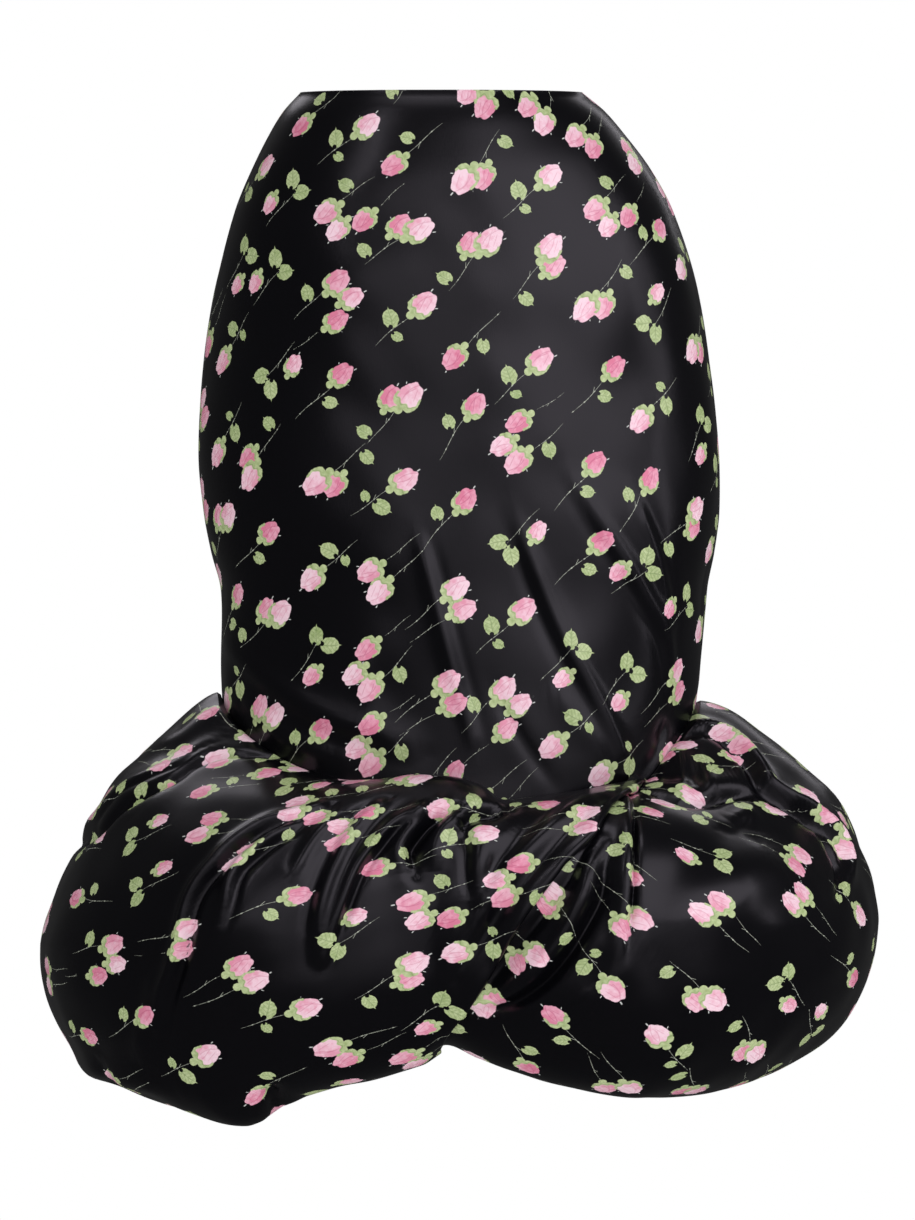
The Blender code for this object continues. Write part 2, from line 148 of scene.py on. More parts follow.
# ------ folds
# lift of the fold, down if negative; width; how round its crest is; trough beside it and how far its crest
# leans, to the right of a path that runs down if positive; strength at its start and end; then the points
# of its path: x and height in front view, or angle and height round the sides
Fold = namedtuple("Fold", "lift width tip trough lean start end")
LEFT_FRONT_FOLDS = (
    # the left side's thin creases under the shoulder, their lip and the ridge above
    (-6, 4.0, 1.0, 0, 0, 0.6, 0.6, (-284, -598), (-269, -586), (-252, -572), (-237, -562), (-216, -549),
     (-199, -534), (-180, -526), (-161, -525), (-144, -526)),
    (-3, 3.5, 1.0, 0, 0, 0.6, 0.1, (-266, -574), (-250, -559), (-234, -549), (-212, -536), (-195, -522),
     (-176, -515)),
    (4, 7, 4.0, 0, -2, 0.3, 0.1, (-277, -578), (-257, -562), (-237, -548), (-213, -535), (-193, -520),
     (-173, -512)),
    (4, 12, 5.0, 0, 0, 0.2, 0.3, (-234, -523), (-208, -513), (-187, -500), (-170, -497), (-161, -500),
     (-153, -509)),
    # long ridge down the left lobe, with its valley to the right and a second ridge beside it
    (9, 4.5, 1.6, 1.0, 2, 0.3, 0.3, (-100, -567), (-120, -572), (-140, -578), (-158, -590),
     (-170, -601), (-180, -613), (-190, -626), (-200, -643), (-206, -662), (-210, -675), (-213, -690),
     (-218, -704), (-223, -722), (-225, -742)),
    (7, 3.8, 1.4, 1.0, 2, 0.3, 0.2, (-110, -575), (-130, -588), (-150, -603), (-162, -616),
     (-168, -628), (-172, -644), (-176, -660)),
    (4, 8, 4.0, 0, 0, 0.1, 0.1, (-226, -690), (-230, -720), (-236, -750), (-240, -775)),
    # a pair of ridges that fans down from the roll and meets at the bottom
    (7, 4.5, 1.8, -0.8, 0, 0.3, 0.3, (-50, -568), (-62, -577), (-73, -593), (-81, -608), (-88, -622),
     (-94, -645), (-97, -664), (-96, -682)),
    (8, 4.2, 1.4, 0.9, 2, 0.4, 0.3, (-22, -571), (-36, -578), (-53, -594), (-68, -614), (-77, -634),
     (-87, -664), (-93, -684)),
    (4, 4, 1.6, 0, 2, 0.3, 0.1, (-84, -572), (-98, -586), (-112, -606), (-120, -628)),
    # the hook under the roll, between two small rolls, and the hole under the roll's end
    (-11, 4.0, 1.0, 0, 0, 0.4, 0.3, (8, -571), (-6, -580), (-16, -590), (-21, -602), (-20, -616)),
    (6, 5.0, 2.5, 0, 0, 0.4, 0.2, (-4, -566), (-18, -576), (-29, -590), (-33, -604), (-31, -620)),
    (6, 6.0, 3.0, 0, 0, 0.5, 0.1, (22, -566), (8, -578), (-2, -590), (-6, -604), (-6, -620)),
    (-11, 5.0, 1.5, 0, 0, 0.3, 0.2, (50, -572), (36, -574), (24, -578), (18, -588)),
    (-5, 4.5, 1.2, 0, 0, 0.5, 0.1, (19, -584), (20, -600), (21, -620), (22, -642)),
    (4, 7.0, 4.0, 0, 0, 0.4, 0.1, (28, -580), (29, -600), (30, -622), (30, -648)),
    # soft folds inside the crossing edge
    (-6, 6, 3.0, 0, 0, 0.5, 0.4, (122, -568), (100, -588), (78, -611), (54, -640), (35, -670),
     (17, -702)),
    (5, 7, 4.0, 0, 0, 0.5, 0.3, (112, -566), (88, -586), (62, -613), (38, -644), (18, -676)),
    (-4, 7, 3.0, 0, 0, 0.5, 0.1, (96, -563), (70, -584), (46, -610), (26, -640), (12, -668)),
    (4, 14, 8.0, 0, 0, 0.3, 0.1, (66, -568), (36, -606), (14, -648), (2, -690)),
    # the lower edge of the left lobe
    (-5, 10, 5.0, 0, 0, 0.2, 0.1, (-268, -770), (-252, -797)),
    (-8, 6, 2.0, 0, 0, 0.2, 0.8, (-138, -790), (-131, -800), (-128, -812)),
)
RIGHT_FRONT_FOLDS = (
    # the gather line right of the tack, its lip, and the puff above it
    (-8, 4.5, 1.2, 0, 0, 0.2, 0.2, (156, -554), (172, -558), (191, -564), (207, -565), (227, -559),
     (247, -557), (263, -562)),
    (4, 8, 4.0, 0, -3, 0.3, 0.1, (164, -548), (180, -553), (197, -556), (222, -549), (245, -547)),
    (-7, 4.5, 1.2, 0, 0, 0.2, 0.2, (268, -566), (284, -574), (301, -587), (312, -604), (318, -620),
     (317, -636)),
    (10, 5.5, 1.8, -0.9, -3, 0.3, 0.1, (188, -505), (207, -505), (224, -510), (245, -525), (255, -539),
     (264, -552), (275, -560), (288, -566), (310, -586), (321, -601), (327, -619), (323, -634)),
    (3, 4, 3.0, 0, 0, 0.3, 0.5, (187, -530), (190, -545), (188, -558)),
    (3, 4, 3.0, 0, 0, 0.3, 0.5, (205, -533), (210, -545), (209, -556)),
    (4, 6, 3.0, -0.8, 0, 0.3, 0.3, (230, -580), (245, -572), (249, -588)),
    # the crisp crease under the tack and the ridge on its left
    (-9, 3.0, 0.5, 0, 0, 0.4, 0.2, (151, -556), (151, -589), (151, -621), (150, -649), (147, -684)),
    (5, 4.5, 3.0, 0, 3, 0.3, 0.1, (145, -562), (145, -592), (144, -625), (141, -660), (133, -694)),
    # the rolled band beside the crossing edge, between its two dark creases
    (-6, 5, 2.0, 0, 0, 0.3, 0.3, (124, -588), (101, -622), (80, -650), (60, -680), (40, -706)),
    (10, 7, 4.0, 0, 0, 0.1, 0.4, (121, -596), (117, -612), (114, -630), (107, -650), (95, -674),
     (79, -694), (54, -713), (31, -725), (15, -731)),
    (-12, 5.5, 1.2, 0, 0, 0.1, 0.6, (136, -592), (130, -612), (124, -635), (111, -664), (96, -689),
     (77, -711), (53, -725), (21, -733)),
    (5, 12, 6.0, 0, 0, 0.2, 0.1, (150, -660), (141, -690), (126, -714), (100, -736)),
    # the wide soft swell across the right lobe, with a hollow above it
    (6, 22, 10.0, -0.8, 0, 0.3, 0.3, (279, -600), (250, -622), (220, -645), (188, -668), (159, -688)),
)

LEFT_SIDE_FOLDS = (
    # a full shoulder, and the lower corner
    (5, 18, 12.0, 0, 0, 0.5, 0.5, (166, -560), (178, -553), (190, -555), (202, -566)),
    (8, 11, 5.0, 0, 0, 0.2, 0.3, (216, -792), (204, -783), (192, -777), (180, -774), (168, -776)),
    # creases and ridges round the sides and the back
    (-4, 4.5, 1.5, 0, 0, 0.7, 0.1, (189, -594), (180, -600), (168, -610), (152, -622), (140, -640)),
    (3, 8, 4.0, 0, 2, 0.5, 0.1, (190, -578), (180, -584), (168, -592), (154, -600)),
    (9, 9, 4.0, 0.8, 2, 0.2, 0.1, (176, -530), (168, -560), (160, -600), (158, -650), (163, -700)),
    (9, 9, 4.0, 0.8, 0, 0.4, 0.1, (145, -560), (134, -590), (128, -630), (130, -680)),
    (-10, 7, 1.5, 0, 0, 0.8, 0.1, (147, -556), (140, -585), (120, -610), (112, -650), (108, -700)),
)
RIGHT_SIDE_FOLDS = (
    # a full shoulder
    (2, 24, 20.0, 0, 0, 0.6, 0.6, (338, -576), (350, -572), (2, -570), (16, -573), (30, -582)),
    # creases and ridges round the sides and the back
    (4, 11, 6.0, 0, 0, 0.2, 0.1, (356, -550), (4, -585), (10, -630), (8, -690)),
    (7, 10, 5.0, -0.8, 0, 0.2, 0.1, (26, -556), (20, -592), (24, -640), (32, -690), (34, -730)),
    (-10, 7, 1.5, 0, 0, 0.4, 0.1, (40, -560), (36, -590), (44, -640), (52, -680)),
    (10, 8, 4.0, -0.8, 0, 0.4, 0.1, (62, -566), (54, -592), (52, -628), (58, -670), (54, -710)),
    (9, 8, 4.0, -0.8, 0, 0.5, 0.1, (74, -572), (70, -600), (70, -640)),
    (-12, 6, 1.5, 0, 0, 0.6, 0.1, (104, -572), (92, -584), (86, -606), (84, -626)),
)

FRONT_DRAGS = (
    # drag lines towards the tack and the seam
    (4.0, 5, 2.2, 0.5, 0, 0.1, 0.4, (-20, -345), (-9, -390), (3, -437), (16, -485), (24, -512)),
    (4.6, 5.5, 2.4, -0.6, 0, 0.1, 0.7, (58, -335), (79, -390), (99, -437), (120, -477), (142, -522)),
    (4.2, 5.5, 2.4, -0.5, 0, 0.1, 0.5, (104, -305), (135, -357), (159, -397), (179, -437), (184, -475)),
    (3.2, 5, 2.4, 0.5, 0, 0.1, 0.3, (150, -320), (170, -373), (182, -420)),
    (-3.0, 4, 1.5, 0, 0, 0.1, 0.8, (180, -500), (172, -525), (160, -545)),
    (-2.5, 5, 2.0, 0, 0, 0.1, 0.8, (40, -470), (62, -512), (86, -548)),
    (2.4, 8, 4.0, 0, 0, 0.1, 0.7, (86, -470), (112, -505), (138, -535)),
    (4.2, 8, 3.5, -0.6, 0, 0.2, 0.4, (-172, -436), (-140, -466), (-105, -489), (-66, -505),
     (-30, -516)),
    (2.5, 7, 3.0, -0.8, 0, 0.4, 0.3, (-150, -492), (-137, -503), (-124, -514), (-107, -522),
     (-84, -528)),
    (1.6, 10, 4.0, 0, 0, 0.1, 0.6, (-66, -440), (-60, -475), (-46, -510)),
)
BACK_DRAGS = (
    # similar ones at the back, seen from the front
    (3.0, 8, 4.0, 0.6, 0, 0.1, 0.4, (-40, -360), (-66, -410), (-90, -460), (-104, -510)),
    (2.8, 7, 4.0, 0, 0, 0.1, 0.6, (52, -380), (44, -430), (30, -480), (24, -530)),
    (3.0, 8, 4.0, -0.5, 0, 0.1, 0.6, (-10, -370), (-28, -420), (-60, -480), (-70, -530)),
    (3.5, 9, 4.0, 0.8, 0, 0.4, 0.3, (160, -470), (140, -494), (112, -512), (80, -524)),
    (2.5, 9, 4.0, 0, 0, 0.1, 0.6, (-150, -370), (-158, -430), (-150, -490)),
)
FOLD_RAMP = (0, 0.3, 0.7, 1)  # a fold is at full strength between the middle two parts of its length
FOLD_REACH = 4.5  # widths from its path within which a fold moves the cloth
TROUGH_OFFSET = 2.0  # widths between a fold and the trough beside it
TROUGH_DEPTH = 0.55  # of the fold's lift
FOLD_POWER = 1.35  # how the fold falls off: 1 is a sharp cusp, 2 a soft swell
PATH_SPACING = 4.0  # between the points of a path on the cloth
DROP_WITHIN = 2.0  # how near a point of the balloon has to be seen to a path's point
# angles and stations searched when a path is dropped on a surface: first, last and number
FRONT_ANGLES, FRONT_STATIONS = (180.0, 360.0, 361), (0.3, 3.0, 271)
SIDE_STATIONS = (1.0, 3.0, 201)
UPPER_ANGLES = (0, 180, 721)

# small uneven waves all over: wavelengths, height, number of waves
Waves = namedtuple("Waves", "shortest longest height count seed")
BALLOON_WAVES = (Waves(90, 170, 1.1, 12, 3), Waves(28, 60, 0.3, 24, 5))
UPPER_WAVES = (Waves(110, 220, 1.2, 10, 7), Waves(35, 80, 0.28, 24, 9))

# Pleats taken in at the seam and at the leg opening: the sewn edge's station and radius, least and most
# spacing, height, width and last station of a pleat, and the angles between which there are none
Pleats = namedtuple("Pleats", "start radius spacing height width reach smooth seed")
SEAM_PLEATS = Pleats(0.0, 190.0, (16, 46), (0.6, 2.4), (4.0, 7.5), (0.7, 1.55), (228, 330), 11)
HEM_PLEATS = Pleats(4.0, 135.0, (11, 20), (2.0, 5.0), (3.5, 6.0), (3.0, 3.6), (0, 0), 12)
PLEAT_RISE = 0.5  # station by which the seam's pleats stand in full
PLEAT_SWAY = 6  # degrees that one runs to either side
PLEAT_SPREAD = 1.2  # how much wider it is at its end
PLEAT_POWER = 1.5  # how it fades towards its end


# ------ print (mm on the flat cloth)
# Each spray is drawn on a lattice point of the flat cloth, with its first bud pointing along +x.
# kind; place ahead and aside; turn in degrees; size; tone from 0, pale, to 1, deep
SPRAYS = (
    # one bud with a leaf on either side of its stem
    (("bud", 14, 0, 0, 1.0, 0.25), ("stem", -18, 0, 0, 1.0, 0.3),
     ("leaf", -13, 8, 62, 1.0, 0.4), ("leaf", -19, -6, -70, 0.62, 0.6)),
    # two buds side by side on long stems
    (("bud", 14, 7, 6, 1.0, 0.2), ("bud", 9, -10, -10, 0.95, 0.6),
     ("stem", -19, 6, 4, 1.05, 0.5), ("stem", -25, -7, -4, 0.9, 0.2)),
    # three buds in a row
    (("bud", 12, 8, 10, 1.0, 0.45), ("bud", 14, -9, -6, 0.9, 0.1),
     ("bud", -7, -17, -2, 0.9, 0.85), ("stem", -19, 7, 6, 0.9, 0.4),
     ("stem", -38, -15, -4, 0.7, 0.4), ("leaf", -14, 15, 70, 0.9, 0.5)),
    # a deep bud with one small leaf
    (("bud", 14, 0, -8, 0.92, 0.95), ("stem", -17, 2, -6, 1.1, 0.6),
     ("leaf", -9, -8, -58, 0.8, 0.3)),
    # a fork of two leaves and a small bud
    (("leaf", 8, 6, 40, 1.0, 0.6), ("leaf", 10, -8, -48, 1.05, 0.2),
     ("stem", -14, 0, 4, 1.0, 0.2), ("bud", -18, -12, 172, 0.78, 0.5)),
    # a pale bud behind a mid one, leaf at the stem's end
    (("bud", 4, 9, 14, 0.9, 0.75), ("bud", 15, -2, 0, 1.05, 0.05),
     ("stem", -17, -1, 2, 1.0, 0.7), ("leaf", -30, 7, 96, 0.85, 0.4)),
)
# half length and half width of what each kind is drawn in
REACH = {"bud": (20.0, 12.0), "leaf": (11.0, 8.0), "stem": (21.0, 2.4)}
LAYERS = ("stem", "leaf", "bud_a", "bud_b")   # painted in this order
LATTICE = (77.0, 47.0)  # spacing of the sprays along and across their direction
LATTICE_LEAN = 0.17  # how far each row is shifted along, in spacings, besides every other one's half
SPRAY_JITTER = (9.0, 5.0)  # how far one strays from its point
SPRAY_TURN = 11.0  # degrees either way
TONE_SHIFT = 0.25  # how much paler or deeper than usual a spray may be
MOST_TONE = 0.99  # below 1, because an element's own whole number is added to its tone
ELEMENT_NUMBERS = 8  # how many of those there are
BLANK = 99.0  # place along and across where no element lies
# the corners of each face of a grid, as rows and columns of its points
CORNERS = [(slice(0, -1), slice(0, -1)), (slice(1, None), slice(0, -1)),
           (slice(1, None), slice(1, None)), (slice(0, -1), slice(1, None))]
GRAIN = {"skirt_front": 42.0, "skirt_back": 42.0, "balloon_left": 42.0, "balloon_right": -3.0}
# where on each piece the flat cloth's up is the skirt's up: parts of the way down and round
UPRIGHT = {"skirt_front": (0.5, 0.5), "skirt_back": (0.5, 0.5), "balloon_left": (0.45, 0.4),
           "balloon_right": (0.45, 0.28)}
FLATTEN_STEP = 2  # every second row and column is laid flat
FLATTEN_TURNS = 10  # of the solver that evens out the stretch
UPRIGHT_STEP = 3  # cells to each side between which the flat cloth's right and up are read
STRETCH_BLOCK = 12  # cells each way over which the stretch is averaged

# ------ curves through tables
def curve_through(keys, values, at):
    """A smooth curve through a table's values that never swings past them."""
    keys = np.asarray(keys, float)
    values = np.asarray(values, float)
    step = np.diff(keys)
    rise = np.diff(values) / step
    slope = np.zeros(len(keys))
    slope[0], slope[-1] = rise[0], rise[-1]
    both = rise[:-1] * rise[1:]
    total = np.where(both > 0, rise[:-1] + rise[1:], 1.0)
    slope[1:-1] = np.where(both > 0, 2 * both / total, 0.0)
    at = np.clip(at, keys[0], keys[-1])
    row = np.clip(np.searchsorted(keys, at, side="right") - 1, 0, len(keys) - 2)
    t = (at - keys[row]) / step[row]
    return (
        (2 * t**3 - 3 * t**2 + 1) * values[row]
        + (t**3 - 2 * t**2 + t) * step[row] * slope[row]
        + (3 * t**2 - 2 * t**3) * values[row + 1]
        + (t**3 - t**2) * step[row] * slope[row + 1]
    )


def upper_column(number, height):
    keys, values = zip(*((row[0], row[number]) for row in UPPER_SECTIONS[::-1]))
    return curve_through(keys, values, height)


def balloon_column(number, angle):
    keys, values = zip(*((row[0] + turn, row[number]) for turn in (-360, 0, 360) for row in BALLOON_SECTIONS))
    return curve_through(keys, values, np.mod(angle, 360))


def oval_radius(angle, half_width, half_depth):
    """Distance from the middle to a rounded oval's edge in the direction of the angle."""
    turn = np.radians(angle)
    across = np.abs(np.cos(turn)) / half_width
    deep = np.abs(np.sin(turn)) / half_depth
    return (across**SECTION_POWER + deep**SECTION_POWER) ** (-1 / SECTION_POWER)


def unit(vectors):
    return vectors / np.maximum(np.linalg.norm(vectors, axis=-1, keepdims=True), 1e-9)


def ramp(value):
    return np.clip(value, 0, 1)


# ------ the two surfaces
def upper_radius(angle, height):
    return oval_radius(angle, upper_column(1, height), upper_column(3, height))


def upper_point(angle, height):
    radius = upper_radius(angle, height)
    turn = np.radians(angle)
    x = upper_column(2, height) + radius * np.cos(turn)
    y = upper_column(4, height) + radius * np.sin(turn)
    return np.stack([x, y, height], axis=-1)


def balloon_point(angle, station):
    angle, station = np.broadcast_arrays(np.asarray(angle, float), np.asarray(station, float))
    seam, up, out, wide, wide_height, low, low_height, shoulder, lower = (
        balloon_column(number, angle) for number in range(1, 10)
    )
    start = np.maximum(upper_radius(angle, seam), upper_radius(angle, seam + up)) + WALL + SEAM_GAP
    crest = start + out
    crest_height = seam + up
    hem = oval_radius(angle, HEM_HALF_WIDTH, HEM_HALF_DEPTH)
    stretch = np.minimum(np.floor(station), HEM - 1).astype(int)
    quarter = np.pi / 2 * (station - stretch)
    sine, cosine = np.sin(quarter), ramp(np.cos(quarter))
    radius = np.choose(stretch, (
        start + out * (1 - cosine),
        crest + (wide - crest) * sine ** (2 / shoulder),
        low + (wide - low) * cosine ** (2 / lower),
        low - (low - hem) * sine ** (2 / TURN_UNDER_POWER),
    ))
    height = np.choose(stretch, (
        seam + up * sine,
        wide_height + (crest_height - wide_height) * cosine ** (2 / shoulder),
        wide_height + (low_height - wide_height) * sine ** (2 / lower),
        low_height + (HEM_HEIGHT - low_height) * (1 - cosine ** (2 / TURN_UNDER_POWER)),
    ))
    turn = np.radians(angle)
    return np.stack([HUB_X + radius * np.cos(turn), radius * np.sin(turn), height], axis=-1)


def outward(angle, station):
    """The balloon's unit normal, away from the stuffing side."""
    small_turn, small_step = 0.4, 0.02
    station = np.clip(station, small_step, HEM - small_step)
    around = balloon_point(angle + small_turn, station) - balloon_point(angle - small_turn, station)
    down = balloon_point(angle, station + small_step) - balloon_point(angle, station - small_step)
    return unit(np.cross(down, around))


def lift_direction(angles, stations):
    """Along the normal, but outwards and up beside the seam, where layers lie clear of the upper skirt."""
    turn = np.radians(angles)
    beside = np.stack([np.cos(turn), np.sin(turn), np.ones_like(turn)], axis=-1)
    blend = ramp((stations - UP_UNTIL) / (OUT_FROM - UP_UNTIL))[..., None]
    return beside * (1 - blend) + outward(angles, stations) * blend


def grid_normals(points):
    """Unit normals of a grid whose rows run down and columns run round, seen from outside."""
    down = np.gradient(points, axis=0)
    around = np.gradient(points, axis=1)
    return unit(np.cross(down, around))


def rolled(edge, past, inward, radius):
    """Rows of cloth that turn over an edge, the last of them right behind it."""
    rows = []
    for number in range(1, TURN_STEPS + 1):
        turn = np.pi * number / TURN_STEPS
        rows.append(edge + past * radius * np.sin(turn) + inward * radius * (1 - np.cos(turn)))
    return rows


# ------ where the halves cross
def crossing_angles(stations):
    """The angle of the front folded edge at each station, from its line in front view."""
    heights = [z for _, z in CROSSING][::-1]
    across = [x for x, _ in CROSSING][::-1]
    angles = np.linspace(*CROSSING_ANGLES)
    found = []
    for station in stations:
        seen = balloon_point(angles, min(station, LOWEST))
        past = seen[:, 0] - np.interp(seen[:, 2], heights, across)
        first = int(np.argmax(past > 0))
        part = past[first - 1] / (past[first - 1] - past[first])
        found.append(angles[first - 1] + part * (angles[first] - angles[first - 1]))
    found = np.minimum(np.array(found), CROSSING_TOP)
    blend = ramp(stations / TACK_BLEND)
    return CROSSING_TOP * (1 - blend) + found * blend


# ------ folds on the surface
def smooth_path(points):
    """Points of a fold, joined by a smooth curve and spaced evenly."""
    points = np.asarray(points, float)
    along = np.concatenate([[0], np.cumsum(np.linalg.norm(np.diff(points, axis=0), axis=1))])
    at = np.linspace(0, along[-1], max(int(along[-1] / PATH_SPACING), 4))
    return np.stack([curve_through(along, points[:, axis], at) for axis in range(3)], axis=1)


@lru_cache
def front_surface():
    angles, stations = np.meshgrid(np.linspace(*FRONT_ANGLES), np.linspace(*FRONT_STATIONS))
    return balloon_point(angles, stations).reshape(-1, 3)


def on_front(x, height):
    """The point of the balloon's front that is seen there in front view."""
    surface = front_surface()
    off = (surface[:, 0] - x) ** 2 + (surface[:, 2] - height) ** 2
    near = np.flatnonzero(off < off.min() + DROP_WITHIN**2)
    return surface[near[np.argmin(surface[near, 1])]]


def on_side(angle, height):
    """The point of the balloon at an angle and a height."""
    column = balloon_point(float(angle), np.linspace(*SIDE_STATIONS))
    return column[np.argmin(np.abs(column[:, 2] - height))]


def on_upper(panel, x, height):
    """The point of the upper skirt's front or back that lies there in front view."""
    angles = PANEL_START[panel] + np.linspace(*UPPER_ANGLES)
    ring = upper_point(angles, np.full(len(angles), float(height)))
    return ring[np.argmin(np.abs(ring[:, 0] - x))]


def fold_shift(fold, path, points, normals):
    """How a fold moves each point: its lift along the way out, and its lean along the cloth."""
    shape = points.shape
    points, normals = points.reshape(-1, 3), normals.reshape(-1, 3)
    lift = np.zeros(len(points))
    lean = np.zeros((len(points), 3))
    reach = FOLD_REACH * fold.width
    low, high = path.min(axis=0) - reach, path.max(axis=0) + reach
    near = np.flatnonzero(((points > low) & (points < high)).all(axis=1))
    if len(near):
        apart = points[near, None, :] - path[None, :, :]
        closest = np.argmin((apart**2).sum(axis=2), axis=1)
        offset = apart[np.arange(len(near)), closest]
        along = unit(np.gradient(path, axis=0))[closest]
        offset -= along * np.clip((offset * along).sum(axis=1), -PATH_SPACING, PATH_SPACING)[:, None]
        aside = unit(np.cross(normals[near], along))
        distance = np.linalg.norm(offset, axis=1) * np.sign((offset * aside).sum(axis=1))
        strength = curve_through(FOLD_RAMP, (fold.start, 1, 1, fold.end), closest / (len(path) - 1))
        away = np.sqrt(distance**2 + fold.tip**2) - fold.tip
        bump = np.exp(-((away / fold.width) ** FOLD_POWER))
        beside = np.exp(-((distance / fold.width - TROUGH_OFFSET * np.sign(fold.trough)) ** 2))
        lift[near] = fold.lift * strength * (bump - TROUGH_DEPTH * abs(fold.trough) * beside)
        lean[near] = aside * (fold.lean * strength * bump)[:, None]
    return lift.reshape(shape[:-1]), lean.reshape(shape)


def panel_shift(panel, points, normals):
    """All folds of one piece."""
    lift = np.zeros(points.shape[:-1])
    lean = np.zeros(points.shape)
    for folds, drop in FOLDS[panel]:
        for row in folds:
            numbers, seen = row[:len(Fold._fields)], row[len(Fold._fields):]
            path = smooth_path([drop(*point) for point in seen])
            more_lift, more_lean = fold_shift(Fold(*numbers), path, points, normals)
            lift += more_lift
            lean += more_lean
    return lift, lean


FOLDS = {
    "left": ((LEFT_FRONT_FOLDS, on_front), (LEFT_SIDE_FOLDS, on_side)),
    "right": ((RIGHT_FRONT_FOLDS, on_front), (RIGHT_SIDE_FOLDS, on_side)),
    "front": ((FRONT_DRAGS, partial(on_upper, "front")),),
    "back": ((BACK_DRAGS, partial(on_upper, "back")),),
}


def uneven(points, waves):
    """A smooth random height for each point, from waves of uneven lengths in all directions."""
    random = np.random.default_rng(waves.seed)
    way = unit(random.normal(size=(waves.count, 3)))
    turns = 2 * np.pi / random.uniform(waves.shortest, waves.longest, waves.count)
    phase = random.uniform(0, 2 * np.pi, waves.count)
    total = np.sin(points @ (way * turns[:, None]).T + phase).sum(axis=-1)
    return waves.height * np.sqrt(2 / waves.count) * total


def pleat_lift(pleats, angles, stations):
    """Uneven small pleats across a sewn edge of the balloon."""
    random = np.random.default_rng(pleats.seed)
    radius = pleats.radius
    lift = np.zeros(angles.shape)
    place = 0.0
    while place < 360:
        spacing = random.uniform(*pleats.spacing)
        height, width = random.uniform(*pleats.height), random.uniform(*pleats.width)
        reach, sway = random.uniform(*pleats.reach), random.uniform(-PLEAT_SWAY, PLEAT_SWAY)
        place += np.degrees(spacing / radius)
        if pleats.smooth[0] < place < pleats.smooth[1]:
            continue
        part = ramp((stations - pleats.start) / (reach - pleats.start))
        aside = (np.mod(angles - place - sway * part + 180, 360) - 180) * np.pi / 180 * radius
        spread = width * (1 + PLEAT_SPREAD * part)
        lift += height * (1 - part) ** PLEAT_POWER * np.exp(-((aside / spread) ** 2))
    return lift


# ------ grids of points
def balloon_stations():
    parts = [np.arange(count) / count + number for number, count in enumerate(STRETCH_ROWS)]
    return np.concatenate(parts + [[HEM]])


def seam_fade(station):
    """Folds are still at the seam and at the turned edge."""
    return ramp(station / SEAM_STILL) ** 2 * ramp((HEM - station) / HEM_STILL)


def edge_bulge(station):
    """How far the folded edges puff up, from nothing at the seam and at the hem to 1 half way."""
    return np.sin(np.pi * ramp(station / HEM)) ** BULGE_POWER


@lru_cache
def balloon_body(panel):
    """One half: its points without folds, the way out of each, how far its folds lift it and their lean.

    Its columns are its underlap, then its body up to the fold of its front edge."""
    stations = balloon_stations()
    edge = crossing_angles(stations) - (180 if panel == "left" else 0)
    steps = np.arange(-UNDERLAP_COLUMNS, COLUMNS + 1) / COLUMNS
    steps += FRONT_DENSITY * (steps**2 - steps) * (-1 if panel == "left" else 1)
    angles = edge[:, None] + 180 * steps[None, :]
    stations = np.broadcast_to(stations[:, None], angles.shape)
    points = balloon_point(angles, stations)
    normals = outward(angles, stations)
    near_edge = steps[-1 - UNDERLAP_COLUMNS]
    rise = ramp((steps - near_edge + EDGE_REACH) / EDGE_REACH) ** 2
    fade = seam_fade(stations)
    shared = sum(uneven(points, waves) for waves in BALLOON_WAVES) * fade
    shared += pleat_lift(SEAM_PLEATS, angles, stations) * ramp(stations / PLEAT_RISE)
    shared += pleat_lift(HEM_PLEATS, angles, stations)
    lift, lean = panel_shift(panel, points, normals)
    lift = lift * fade + shared
    stand = WALL + LAP_GAP + EDGE_PUFF * edge_bulge(stations) + TACK_LIFT * ramp(1 - stations)
    lift += stand * rise[None, :]
    under = slice(0, UNDERLAP_COLUMNS + 1)
    cover, _ = panel_shift(OTHER[panel], points[:, under], normals[:, under])
    lift[:, under] = np.minimum(lift[:, under], cover * fade[:, under] + shared[:, under])
    lean[:, under] = 0
    return points, lift_direction(angles, stations), lift, lean * fade[..., None]


def balloon_grid(panel):
    """One half with its folded edge, which rolls down and back under towards the half that it lies on."""
    points, outside, lift, lean = balloon_body(panel)
    _, _, below_lift, _ = balloon_body(OTHER[panel])
    body = points + outside * lift[..., None] + lean
    rest = below_lift[:, UNDERLAP_COLUMNS] + WALL + LAP_GAP
    radius = np.maximum((lift[:, -1] - rest) / 2, LEAST_FOLD)[:, None]
    edge, up = body[:, -1], unit(outside[:, -1])
    past = unit(np.cross(np.gradient(edge, axis=0), up))
    past *= np.sign((past * (body[:, -1] - body[:, -4])).sum(axis=1, keepdims=True))
    turned = rolled(edge, past, -up, radius)
    turned += [turned[-1] - past * FLAP * number / FLAP_STEPS for number in range(1, FLAP_STEPS + 1)]
    return np.concatenate([body, np.stack(turned, axis=1)], axis=1)


